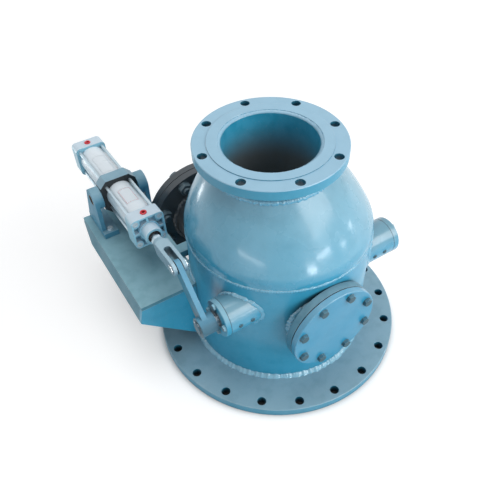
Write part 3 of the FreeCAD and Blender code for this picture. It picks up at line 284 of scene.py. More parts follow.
def piece(name, shape, body, finish, sharp, stands_for=(), caps=False):
    """One closed mesh at the origin, riding on a body, with faces turned outwards.

    finish names its material, edges over sharp degrees stay crisp, and caps closes open ends.
    """
    points, faces = shape
    mesh = bpy.data.meshes.new(name)
    mesh.from_pydata(points.tolist(), [], faces.tolist())
    bm = bmesh.new()
    bm.from_mesh(mesh)
    bmesh.ops.remove_doubles(bm, verts=bm.verts, dist=2e-6)
    if caps:
        bmesh.ops.holes_fill(bm, edges=[e for e in bm.edges if e.is_boundary], sides=64)
    bmesh.ops.recalc_face_normals(bm, faces=bm.faces)
    bm.to_mesh(mesh)
    bm.free()
    mesh.shade_smooth()
    mesh.set_sharp_from_angle(angle=math.radians(sharp))
    obj = bpy.data.objects.new(name, mesh)
    bpy.context.scene.collection.objects.link(obj)
    mesh.materials.append(MATERIALS[finish])
    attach(obj, body)
    if stands_for:
        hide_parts(*stands_for)


# Shared effects

def srgb(r, g, b):
    """Colour written as 0 to 255 screen values, as linear RGBA."""
    c = np.array([r, g, b]) / 255.0
    c = np.where(c <= 0.04045, c / 12.92, ((c + 0.055) / 1.055) ** 2.4)
    return (*[float(x) for x in c], 1.0)


def rgb(r, g, b):
    """The same without alpha, as a colour setting holds it."""
    return srgb(r, g, b)[:3]


def new_group(name, inputs, outputs):
    """Empty shader node group, with the sockets that its nodes read and fill."""
    tree = bpy.data.node_groups.new(name, "ShaderNodeTree")
    for label, kind, value in inputs:
        s = tree.interface.new_socket(name=label, in_out="INPUT", socket_type="NodeSocket" + kind)
        s.default_value = value
    for label, kind in outputs:
        tree.interface.new_socket(name=label, in_out="OUTPUT", socket_type="NodeSocket" + kind)
    return tree, tree.nodes.new("NodeGroupInput").outputs, tree.nodes.new("NodeGroupOutput").inputs


def fill(tree, socket, value):
    """Feed a socket from another socket, or set its number or colour."""
    if isinstance(value, bpy.types.NodeSocket):
        tree.links.new(value, socket)
    else:
        socket.default_value = value


def add(tree, kind, inputs=None, **settings):
    """New shader node with its settings, and its inputs filled by name or number."""
    node = tree.nodes.new("ShaderNode" + kind)
    for key, value in settings.items():
        setattr(node, key, value)
    for key, value in (inputs or {}).items():
        fill(tree, node.inputs[key], value)
    return node


def math_node(tree, operation, a, b=0.5):
    """Two numbers or sockets through one Math node."""
    return add(tree, "Math", {0: a, 1: b}, operation=operation).outputs[0]


def times(tree, a, b):
    return math_node(tree, "MULTIPLY", a, b)


def plus(tree, a, b):
    return math_node(tree, "ADD", a, b)


def spread(tree, value, low, high, to_low=0.0, to_high=1.0):
    """Value between low and high, spread smoothly over to_low to to_high."""
    inputs = dict(enumerate((value, low, high, to_low, to_high)))
    return add(tree, "MapRange", inputs, interpolation_type="SMOOTHSTEP").outputs[0]


def blend_colour(tree, factor, a, b):
    """Colour a where the factor is 0, and b where it is 1."""
    return add(tree, "Mix", {0: factor, 6: a, 7: b}, data_type="RGBA").outputs[2]


def toned(tree, colour, value=1.0, saturation=1.0):
    """Colour with its value and its saturation multiplied."""
    return add(tree, "HueSaturation", {"Color": colour, "Value": value, "Saturation": saturation}).outputs[0]


def noise(tree, scale, detail, stretch=None):
    """Noise over the object's own coordinates, in waves per metre."""
    where = add(tree, "TexCoord").outputs["Object"]
    if stretch:
        where = add(tree, "Mapping", {"Vector": where, "Scale": stretch}).outputs[0]
    return add(tree, "TexNoise", {"Vector": where, "Scale": scale, "Detail": detail}).outputs["Fac"]


def upward(tree, output):
    """Third number of one kind of texture coordinate: z, or how far a face looks up."""
    return add(tree, "SeparateXYZ", {0: add(tree, "TexCoord").outputs[output]}).outputs[2]


def hollow_shade_and_grime(tree, colour, given):
    """Painted shade and grime: colour that turns nearly black where the surface lies deep in a hollow."""
    shelter = add(tree, "AmbientOcclusion", {"Distance": given["Reach"]}, samples=8).outputs["AO"]
    hollow = times(tree, spread(tree, shelter, 0.66, 0.2), given["Shade and Grime"])
    return blend_colour(tree, hollow, colour, toned(tree, colour, 0.13, 0.75))


def make_groups():
    """Sprayed paint, soft edges and metal grain, each built once."""
    tree, given, made = new_group("Sprayed paint", [
        ("Side Colour", "Color", (0.1, 0.3, 0.5, 1)), ("Top Colour", "Color", (0.3, 0.5, 0.6, 1)),
        ("Speckle", "Float", 0.3), ("Roughness", "Float", 0.3), ("Shade and Grime", "Float", 0.5), ("Reach", "Float", 0.012),
    ], [("Color", "Color"), ("Roughness", "Float"), ("Height", "Float")])
    cloud = noise(tree, 13.0, 4)
    # Faces turned up take the top colour and upright faces the side colour: dust on the tops, and in part painted light
    # and shade where tops and sides are toned to how the light falls
    facing = plus(tree, upward(tree, "Normal"), times(tree, cloud, 0.16))
    colour = blend_colour(tree, spread(tree, facing, 0.1, 0.98), given["Side Colour"], given["Top Colour"])
    patch = times(tree, spread(tree, noise(tree, 34.0, 5), 0.42, 0.72), given["Speckle"])
    colour = blend_colour(tree, patch, colour, toned(tree, colour, 0.78, 1.08))
    fleck = times(tree, spread(tree, noise(tree, 260.0, 2), 0.6, 0.75), given["Speckle"])
    colour = blend_colour(tree, fleck, colour, toned(tree, colour, saturation=0.72))
    tree.links.new(hollow_shade_and_grime(tree, colour, given), made["Color"])
    rough = plus(tree, given["Roughness"], spread(tree, cloud, 0.35, 0.7, -0.05, 0.09))
    tree.links.new(rough, made["Roughness"])
    peel = times(tree, noise(tree, 520.0, 1), 0.10)
    sway = times(tree, noise(tree, 17.0, 1), 1.1)
    tree.links.new(plus(tree, peel, sway), made["Height"])
    GROUPS["paint"] = tree

    tree, given, made = new_group("Soft edges", [("Radius", "Float", 0.001)], [("Normal", "Vector"), ("Edge", "Float")])
    soft = add(tree, "Bevel", {"Radius": given["Radius"]}, samples=6).outputs[0]
    crisp = add(tree, "NewGeometry").outputs["Normal"]
    match = add(tree, "VectorMath", {0: soft, 1: crisp}, operation="DOT_PRODUCT").outputs["Value"]
    # A pale colour along the edges: paint worn off, and in part a painted highlight where the edges catch the light
    edge = spread(tree, match, 0.985, 0.86)
    wear_and_sheen = times(tree, edge, spread(tree, noise(tree, 60.0, 4), 0.35, 0.6))
    tree.links.new(wear_and_sheen, made["Edge"])
    tree.links.new(soft, made["Normal"])
    GROUPS["edges"] = tree

    tree, given, made = new_group("Metal grain", [
        ("Colour", "Color", (0.6, 0.6, 0.6, 1)), ("Roughness", "Float", 0.3), ("Along", "Float", 900.0),
        ("Stain", "Float", 0.25), ("Shade and Grime", "Float", 0.9), ("Reach", "Float", 0.006),
    ], [("Color", "Color"), ("Roughness", "Float"), ("Height", "Float")])
    lines = noise(tree, given["Along"], 2, (1, 0.04, 1))
    spots = times(tree, spread(tree, noise(tree, 70.0, 5), 0.5, 0.75), given["Stain"])
    colour = blend_colour(tree, spots, given["Colour"], toned(tree, given["Colour"], 0.55))
    tree.links.new(hollow_shade_and_grime(tree, colour, given), made["Color"])
    rough = plus(tree, given["Roughness"], spread(tree, lines, 0.3, 0.7, -0.06, 0.1))
    tree.links.new(rough, made["Roughness"])
    tree.links.new(lines, made["Height"])
    GROUPS["grain"] = tree


def make_finish(name, group, values, bump, distance, edge_radius=0.0012, edge=None, metallic=0.0, coat=0.0,
                fade=None, specular=0.5):
    """Principled material fed by one colour group and the soft-edge group.

    fade holds two heights and a colour, a painted shade, that the paint turns to from the upper one down.
    """
    mat = bpy.data.materials.new(name)
    mat.use_nodes = True
    tree = mat.node_tree
    bsdf = tree.nodes["Principled BSDF"].inputs
    look = add(tree, "Group", values, node_tree=GROUPS[group]).outputs
    edges = add(tree, "Group", {"Radius": edge_radius}, node_tree=GROUPS["edges"]).outputs
    colour = look["Color"]
    # Pale edges of worn paint, with a painted highlight in part
    if edge:
        colour = blend_colour(tree, times(tree, edges["Edge"], 0.6), colour, srgb(*edge))
    # Painted shade: the colour darkens from a height downwards
    if fade:
        low, high, deep = fade
        colour = blend_colour(tree, spread(tree, upward(tree, "Object"), high, low), colour, srgb(*deep))
    relief = add(tree, "Bump", {"Strength": bump, "Distance": distance, "Height": look["Height"],
                                "Normal": edges["Normal"]})
    tree.links.new(colour, bsdf["Base Color"])
    tree.links.new(look["Roughness"], bsdf["Roughness"])
    tree.links.new(relief.outputs[0], bsdf["Normal"])
    bsdf["Metallic"].default_value = metallic
    bsdf["Coat Weight"].default_value = coat
    bsdf["Coat Roughness"].default_value = 0.12
    bsdf["Specular IOR Level"].default_value = specular
    MATERIALS[name] = mat


# Settings a user would change

class FlapValvePaint(bpy.types.PropertyGroup):
    body_side: bpy.props.FloatVectorProperty(
        name="Body side", description="Body paint on upright faces", subtype="COLOR", default=rgb(54, 154, 190))
    body_top: bpy.props.FloatVectorProperty(
        name="Body top", description="Body paint on faces turned up", subtype="COLOR", default=rgb(130, 176, 194))
    flange_side: bpy.props.FloatVectorProperty(
        name="Inlet flange rim", description="Inlet flange paint on its rim",
        subtype="COLOR", default=rgb(48, 148, 182))
    flange_top: bpy.props.FloatVectorProperty(
        name="Inlet flange face", description="Inlet flange paint on its face",
        subtype="COLOR", default=rgb(144, 184, 206))
    base_side: bpy.props.FloatVectorProperty(
        name="Base rim", description="Base flange paint on its rim", subtype="COLOR", default=rgb(50, 142, 174))
    base_top: bpy.props.FloatVectorProperty(
        name="Base face", description="Base flange paint on its face", subtype="COLOR", default=rgb(132, 168, 184))
    # The side outlet's dark grey is a painted shade for the shadow it stands in at the back of the valve
    outlet: bpy.props.FloatVectorProperty(
        name="Side outlet", description="Dark paint of the side outlet", subtype="COLOR", default=rgb(66, 72, 76))
    cylinder: bpy.props.FloatVectorProperty(
        name="Cylinder", description="Finish of the air cylinder", subtype="COLOR", default=rgb(196, 222, 236))
    plugs: bpy.props.FloatVectorProperty(
        name="Port plugs", description="Plastic of the port plugs", subtype="COLOR", default=rgb(214, 30, 48))


class FlapValveWelds(bpy.types.PropertyGroup):
    base_leg: bpy.props.FloatProperty(
        name="Base bead", description="Leg of the bead round the shell's foot", unit="LENGTH", default=0.0088)
    seam_half: bpy.props.FloatProperty(
        name="Seam half width", description="Half width of the seam under the dome", unit="LENGTH", default=0.0046)
    seam_crown: bpy.props.FloatProperty(
        name="Seam crown", description="Height of the seam under the dome", unit="LENGTH", default=0.0019)
    branch_leg: bpy.props.FloatProperty(
        name="Nozzle bead", description="Leg of the beads at the nozzles", unit="LENGTH", default=0.0062)
    housing_leg: bpy.props.FloatProperty(
        name="Housing bead", description="Leg of the beads at the bearing housings", unit="LENGTH", default=0.0048)
    shoulder_z: bpy.props.FloatProperty(
        name="Shoulder bead height", description="Height of the bead on the dome under the inlet flange",
        unit="LENGTH", default=0.5218)
    pitch: bpy.props.FloatProperty(
        name="Ripple pitch", description="Distance from crest to crest along a bead", unit="LENGTH", default=0.0058)


class FlapValveBolts(bpy.types.PropertyGroup):
    inspection_across: bpy.props.FloatProperty(
        name="Inspection bolts", description="Across flats of the inspection cover's heads",
        unit="LENGTH", default=0.018)
    outlet_across: bpy.props.FloatProperty(
        name="Outlet bolts", description="Across flats of the side outlet's heads and nuts",
        unit="LENGTH", default=0.030)
    gland_across: bpy.props.FloatProperty(
        name="Gland bolts", description="Across flats of the gland's and the feet's heads",
        unit="LENGTH", default=0.013)
    cover_across: bpy.props.FloatProperty(
        name="End cover screws", description="Across flats of the end cover's heads", unit="LENGTH", default=0.010)


class FlapValveStudio(bpy.types.PropertyGroup):
    lens: bpy.props.FloatProperty(
        name="Lens", description="Focal length on a 36 mm frame", unit="CAMERA", default=41.594)
    key_power: bpy.props.FloatProperty(
        name="Side light", description="Power of the large soft light at the right", unit="POWER", default=62.0)
    top_power: bpy.props.FloatProperty(
        name="Ceiling light", description="Power of the large soft light overhead", unit="POWER", default=44.0)
    window_power: bpy.props.FloatProperty(
        name="Window lights", description="Power of one square metre of the low windows", unit="POWER", default=85.0)
    sky: bpy.props.FloatProperty(
        name="Room light", description="Strength of the even light from all round", default=0.34)
    floor_grey: bpy.props.FloatProperty(
        name="Floor", description="How pale the floor is to the light that falls on it", default=0.66)
    floor_glow: bpy.props.FloatProperty(
        name="Floor glow", description="Light that the floor adds where it is looked at", default=0.46)


def make_materials():
    """Every finish of the valve, from the paint settings."""
    make_groups()
    paint = bpy.context.scene.flap_valve_paint

    def tone(colour):
        """A setting by its name, or 0 to 255 screen values, as linear RGBA."""
        return (*getattr(paint, colour), 1.0) if isinstance(colour, str) else srgb(*colour)

    def painted(name, side, top, speckle, roughness, bump=0.35, coat=0.0, edge=(205, 222, 230), shade_and_grime=0.5,
                reach=0.012, distance=0.0009, **more):
        values = {"Side Colour": tone(side), "Top Colour": tone(top or side), "Speckle": speckle,
                  "Roughness": roughness, "Shade and Grime": shade_and_grime, "Reach": reach}
        make_finish(name, "paint", values, bump, distance, edge=edge, coat=coat, **more)

    # Name, side and top colour, and then speckle, roughness, bump, coat, pale edge of wear and painted highlight,
    # painted shade and grime in hollows, and its reach
    painted("body paint", "body_side", "body_top", 0.35, 0.28, coat=0.42)
    # Painted shade: the long reach darkens the shell where the housings and the bracket stand close
    painted("shell paint", "body_side", "body_top", 0.35, 0.36, coat=0.2, shade_and_grime=0.85, reach=0.085, specular=0.4)
    painted("housing paint", "body_side", (104, 150, 168), 0.35, 0.3, coat=0.65)
    painted("neck paint", (56, 126, 154), (112, 152, 168), 0.6, 0.45, shade_and_grime=1.0, reach=0.045, specular=0.3)
    painted("inlet flange paint", "flange_side", "flange_top", 0.18, 0.36, 0.2, 0.25, shade_and_grime=0.95, reach=0.032)
    painted("base paint", "base_side", "base_top", 0.5, 0.42, 0.2, 0.2, shade_and_grime=1.0, reach=0.022)
    # Painted shade: the bore darkens to grey from 562 mm down to 450 mm
    painted("bore paint", (62, 168, 204), "body_top", 0.5, 0.4, 0.3, 0.2, None, fade=(0.450, 0.562, (104, 110, 112)))
    painted("bracket paint", (78, 134, 154), (136, 178, 190), 0.6, 0.5, 0.25, 0.0, specular=0.3)
    # Painted shade: the long reach darkens the bracket's plates near the housing and the lever
    painted("gusset paint", (46, 156, 192), "body_top", 0.4, 0.4, 0.25, 0.15, shade_and_grime=0.8, reach=0.085)
    # Painted shade: darker in the gap between the gland and the lever's hub
    painted("gland paint", "body_side", "body_top", 0.35, 0.4, shade_and_grime=1.0, reach=0.05, specular=0.3)
    painted("weld paint", (80, 164, 198), (136, 186, 206), 0.25, 0.24, 0.3, 0.5, shade_and_grime=0.25)
    painted("cover paint", (42, 142, 180), (108, 168, 196), 0.2, 0.34, 0.2, 0.2)
    painted("bolt paint", (46, 86, 100), (84, 126, 142), 0.5, 0.42, 0.4, 0.1, (140, 170, 184), specular=0.3)
    painted("gland bolt paint", (72, 118, 138), (146, 196, 214), 0.4, 0.4, 0.3, 0.1, specular=0.35)
    # Painted shade: the outlet, its beads and its bolts are dark grey for the shadow at the back
    painted("outlet painted shade", "outlet", (60, 68, 74), 0.5, 0.4, 0.25, 0.2, (92, 108, 116))
    painted("outlet bolt painted shade", (62, 78, 86), (92, 110, 118), 0.5, 0.4, 0.25, 0.2, (120, 138, 146))
    painted("support paint", (88, 150, 178), (128, 168, 186), 0.45, 0.5, 0.4, 0.0, (150, 214, 246), specular=0.25)
    # Painted shade: the lever and its hub darken below 300 mm to the tone of its shaded side
    painted("lever paint", (70, 138, 166), (98, 156, 184), 0.5, 0.42, 0.3, 0.0, shade_and_grime=0.9, reach=0.022,
            fade=(0.280, 0.300, (64, 108, 128)), specular=0.3)
    painted("fork paint", (118, 156, 176), (160, 190, 204), 0.4, 0.42, 0.3, 0.1, shade_and_grime=1.0, reach=0.03)
    # Painted shade: the block's upright faces are near black for the shadow it stands in, under a pale top
    painted("trunnion paint", (32, 38, 42), (134, 172, 190), 0.35, 0.5, 0.35, 0.1, (96, 128, 142))
    painted("flap paint", (40, 60, 70), (50, 70, 80), 0.5, 0.5, 0.3, 0.0, (80, 90, 95))
    painted("cap finish", (144, 202, 224), (204, 222, 234), 0.15, 0.4, 0.2, 0.15, (190, 226, 238), 0.75, 0.009)
    painted("barrel finish", "cylinder", (232, 241, 247), 0.15, 0.34, 0.1, 0.2, (230, 240, 245))

    def metal(name, colour, roughness, along=900.0, stain=0.25):
        values = {"Colour": srgb(*colour), "Roughness": roughness, "Along": along, "Stain": stain}
        make_finish(name, "grain", values, 0.12, 0.0002, edge_radius=0.0006, metallic=1.0)

    # Name, colour and roughness, and then grain lines per metre and stain
    metal("turned steel", (196, 202, 206), 0.24, 1500.0)
    metal("dull steel", (104, 108, 110), 0.5, 1100.0, 0.6)
    metal("zinc steel", (186, 202, 210), 0.44, 700.0, 0.3)
    metal("bronze", (190, 150, 92), 0.34)
    metal("dull bronze", (74, 70, 62), 0.5, stain=0.7)

    # Small things of one colour and with no pale edge of wear and painted highlight, in the same order
    small = {"edge": None, "distance": 0.0004, "edge_radius": 0.0005}
    painted("gasket rubber", (34, 36, 38), None, 0.5, 0.7, 0.2, 0.0, **small)
    painted("packing braid", (84, 78, 66), None, 0.8, 0.85, 0.6, 0.0, **small)
    painted("plug plastic", "plugs", None, 0.1, 0.28, 0.1, 0.3, **small)
    painted("label film", (228, 237, 243), None, 0.15, 0.3, 0.05, 0.2, **small)

    # The label's frame is a line drawn a set distance in from its edge
    frame_inset, line_half, line_core = 2.6 * MM, 0.55 * MM, 0.2 * MM
    tree = MATERIALS["label film"].node_tree
    inset = add(tree, "Attribute", attribute_name="inset").outputs["Fac"]
    away = math_node(tree, "ABSOLUTE", math_node(tree, "SUBTRACT", inset, frame_inset))
    colour = tree.nodes["Principled BSDF"].inputs["Base Color"]
    line = spread(tree, away, line_half, line_core)
    tree.links.new(blend_colour(tree, line, colour.links[0].from_socket, srgb(206, 118, 130)), colour)


class FLAPVALVE_OT_finishes(bpy.types.Operator):
    """Build the paints and metals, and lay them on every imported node"""
    bl_idname = "flap_valve.finishes"
    bl_label = "Finishes"

    def execute(self, context):
        make_materials()
        nodes_of = {
            "body paint": "dome_head",
            "shell paint": "body_shell_front body_shell_back",
            "housing paint": "drive_bearing_housing idle_bearing_housing idle_end_cover",
            "neck paint": "inspection_nozzle inspection_flange",
            "gusset paint": "bracket_gussets",
            "bore paint": "inlet_pipe",
            "gland paint": "gland_flange",
            "inlet flange paint": "inlet_flange",
            "base paint": "base_flange",
            "bracket paint": "bracket_plate bracket_skirts",
            "weld paint": "base_weld seam_weld neck_weld",
            "cover paint": "inspection_cover",
            "bolt paint": "inspection_bolts housing_plugs",
            "outlet painted shade": "outlet_nozzle outlet_flange outlet_cover",
            "outlet bolt painted shade": "outlet_bolts",
            "support paint": "trunnion_supports",
            "lever paint": "lever",
            "fork paint": "fork",
            "trunnion paint": "trunnion_block",
            "flap paint": "flap_arm",
            "barrel finish": "cylinder_barrel piston",
            "cap finish": "front_end_cap rear_end_cap",
            "turned steel": "shaft arm_pins lever_key lever_pin fork_pin_ends piston_rod",
            "dull steel": "seat_ring flap_disc seal_clamp_ring",
            "gland bolt paint": "gland_bolts",
            "zinc steel": "idle_cover_screws support_bolts seal_screws disc_nut rod_nut tie_rods tie_rod_nuts",
            "bronze": "drive_bush idle_bush rod_bush",
            "dull bronze": "trunnion_bushes",
            "gasket rubber": "inspection_gasket outlet_gasket flap_seal",
            "packing braid": "shaft_packing",
            "plug plastic": "port_plugs",
        }
        given = {node: name for name, nodes in nodes_of.items() for node in nodes.split()}
        for node, obj in NODES.items():
            for slot in obj.material_slots:
                slot.link = "OBJECT"
                slot.material = MATERIALS[given[node]]
        return {"FINISHED"}


def dome_arcs():
    """Centres and radii of the dome's outline: a knuckle arc that leaves the skirt
    upright, and a crown arc that touches it and ends at the neck."""
    knuckle_r, angle, neck_gap = 60 * MM, math.radians(22), 5.5 * MM
    normal = np.array([math.cos(angle), math.sin(angle)])
    low = np.array([SHELL_R - knuckle_r, SKIRT])
    joint = low + normal * knuckle_r
    chord = np.array([PIPE_R + neck_gap, DOME_TOP]) - joint
    crown_r = float(-chord.dot(chord) / (2 * chord.dot(normal)))
    return low, knuckle_r, angle, joint - normal * crown_r, crown_r


class FLAPVALVE_OT_dome(bpy.types.Operator):
    """Draw the pressed dome head: skirt, knuckle arc and crown arc turned about Z,
    then leaned so that x and y shift in step with the height above the skirt"""
    bl_idname = "flap_valve.dome"
    bl_label = "Dome head"

    def execute(self, context):
        wall = 8 * MM
        centre, knuckle_r, angle, crown, crown_r = dome_arcs()
        end = math.asin((DOME_TOP - crown[1]) / crown_r)
        a = np.linspace(0, angle, 14)
        b = np.linspace(angle, end, 60)[1:]

        def arcs(depth):
            k, c = knuckle_r - depth, crown_r - depth
            low = np.stack([centre[0] + k * np.cos(a), centre[1] + k * np.sin(a)], -1)
            high = np.stack([crown[0] + c * np.cos(b), crown[1] + c * np.sin(b)], -1)
            return np.vstack([low, high])

        outer = np.vstack([[(SHELL_R, SEAM_Z), (SHELL_R, SEAM_Z + 6 * MM)], arcs(0)])
        inner = arcs(wall)
        inner = inner[inner[:, 0] > PIPE_R]
        inner = np.vstack([[(SHELL_R - wall, SEAM_Z)], inner, [(PIPE_R, inner[-1, 1]), (PIPE_R, DOME_TOP)]])
        loop = np.vstack([outer, inner[::-1]])
        columns = 288
        t = round_angles(columns)
        # Pressing leaves it a little out of round, most at a third of its height
        press = 0.22 * MM * (np.sin(3 * t + 0.4) + 0.7 * np.sin(5 * t + 2.2) + 0.4 * np.sin(11 * t))
        rise = np.clip((loop[:, 1] - SKIRT) / (DOME_TOP - SKIRT), 0, 1)
        swell = np.sin(math.pi * np.clip(rise * 1.6, 0, 1))
        swell = swell * (np.arange(len(loop)) < len(outer))
        r = loop[:, 0][:, None] + press[None, :] * swell[:, None]
        points = np.stack([r * np.cos(t) + rise[:, None] * INLET_XY[0], r * np.sin(t) + rise[:, None] * INLET_XY[1],
                           np.broadcast_to(loop[:, 1][:, None], r.shape)], -1)
        shape = points.reshape(-1, 3), loop_faces(len(loop), columns, True)
        piece("dome_skin", shape, "valve_body", "body paint", 30, ["dome_head"])
        return {"FINISHED"}


class FLAPVALVE_OT_welds(bpy.types.Operator):
    """Lay every weld bead: rings at the base, the seam, the neck, the throat and the dome's
    shoulder, saddles at the nozzles and housings, and straight runs at the bracket"""
    bl_idname = "flap_valve.welds"
    bl_label = "Weld beads"

    def execute(self, context):
        w = context.scene.flap_valve_welds
        # The beads at the side outlet take its painted shade
        dark = {"slot": "dark_paint", "finish": "outlet painted shade"}

        def lay(name, line, a, b, leg_a, leg_b, crown, stands_for=(), slot="weld_paint", finish="weld paint",
                caps=False, **more):
            shape = bead(line, a, b, leg_a, leg_b, crown, w.pitch, **more)
            piece(name, shape, "valve_body", finish, 60, stands_for, caps)

        def ring(centre, radius, z, steps):
            t = round_angles(steps)
            radial = np.stack([np.cos(t), np.sin(t), 0 * t], -1)
            line = np.array([centre[0], centre[1], z]) + radius * radial
            return line, radial, np.broadcast_to([0.0, 0.0, 1.0], line.shape)

        # A line's count of steps also seeds its swelling
        line, radial, up = ring((0, 0), SHELL_R, BASE_TOP, 1900)
        lay("base_bead", line, radial, up, w.base_leg, w.base_leg, crown=0.9 * MM, stands_for=["base_weld"],
            waver=0.7, coins=0.35)
        line, radial, up = ring((0, 0), SHELL_R - 0.1 * MM, SEAM_Z, 1900)
        lay("seam_bead", line, up, -up, w.seam_half, w.seam_half, w.seam_crown, ["seam_weld"], out=radial)
        line, radial, up = ring(INLET_XY, PIPE_R, FLANGE_UNDER, 1100)
        lay("neck_bead", line, radial, -up, 8.0 * MM, 8.0 * MM, crown=3.6 * MM, stands_for=["neck_weld"])
        line, radial, up = ring(INLET_XY, PIPE_R, float(PIPE_HIGH[2]), 1000)
        lay("throat_bead", line, -radial, up, 5.7 * MM, 4.4 * MM, crown=0.6 * MM, slot="light_blue_paint",
            finish="inlet flange paint", waver=0.4)

        centre, crown_r = dome_arcs()[3:]
        t = round_angles(1100)
        dip, lowest_at = 2.5 * MM, math.radians(235)

        def on_dome(z):
            """Line round the dome's crown at the heights z, leaned as the dome is."""
            r = centre[0] + np.sqrt(crown_r ** 2 - (z - centre[1]) ** 2)
            rise = (z - SKIRT) / (DOME_TOP - SKIRT)
            return np.stack([r * np.cos(t) + rise * INLET_XY[0], r * np.sin(t) + rise * INLET_XY[1], z], -1)

        z = w.shoulder_z - dip * np.cos(t - lowest_at)
        line = on_dome(z)
        climb = unit(on_dome(z + MM) - line)
        outward = unit(np.cross(np.roll(line, -1, 0) - np.roll(line, 1, 0), climb))
        lay("shoulder_bead", line, climb, -climb, 6.4 * MM, 6.0 * MM, crown=3.4 * MM, coins=0.45, out=outward)

        for name, sign in (("drive_housing_bead", -1), ("idle_housing_bead", 1)):
            line, a, b = saddle("x", sign, SHAFT_YZ, HOUSING_R, 420)
            lay(name, line, a, b, w.housing_leg, w.housing_leg, crown=0.7 * MM, coins=0.6)
        line, a, b = saddle("y", -1, INSPECT[[0, 2]], NOZZLE_R, 720)
        gap = 0.85 * np.abs(INSPECT_BACK - line[:, 1])
        lay("inspection_bead", line, a, b, np.minimum(w.branch_leg, gap), w.branch_leg, crown=0.7 * MM)
        line, a, b = saddle("y", 1, OUTLET[[0, 2]], NOZZLE_R, 720)
        lay("outlet_bead", line, a, b, w.branch_leg, w.branch_leg, crown=1.0 * MM, **dark)
        t = round_angles(620)
        radial = np.stack([np.cos(t), 0 * t, np.sin(t)], -1)
        line = np.array([OUTLET[0], OUTLET_BACK, OUTLET[2]]) + NOZZLE_R * radial
        back = np.broadcast_to([0.0, -1.0, 0.0], line.shape)
        lay("outlet_flange_bead", line, radial, back, 6 * MM, 6 * MM, crown=0.8 * MM, **dark)

        # Name, first and last y and the height, in mm from the plate's low corner, and up or down
        for name, first, last, z, side in (("bracket_top_bead", 3, 67, 10, 1.0), ("bracket_low_bead", 12, 62, 0, -1.0)):
            y = BRACKET_LOW[1] + np.linspace(first, last, 130) * MM
            x = -np.sqrt(SHELL_R ** 2 - y ** 2)
            away = unit(np.stack([x, y, 0 * y], -1))
            line = np.stack([x, y, 0 * y + BRACKET_LOW[2] + z * MM], -1)
            upright = np.broadcast_to([0.0, 0.0, side], line.shape)
            lay(name, line, away, upright, 5 * MM, 5 * MM, crown=0.8 * MM, closed=False, caps=True)
        return {"FINISHED"}


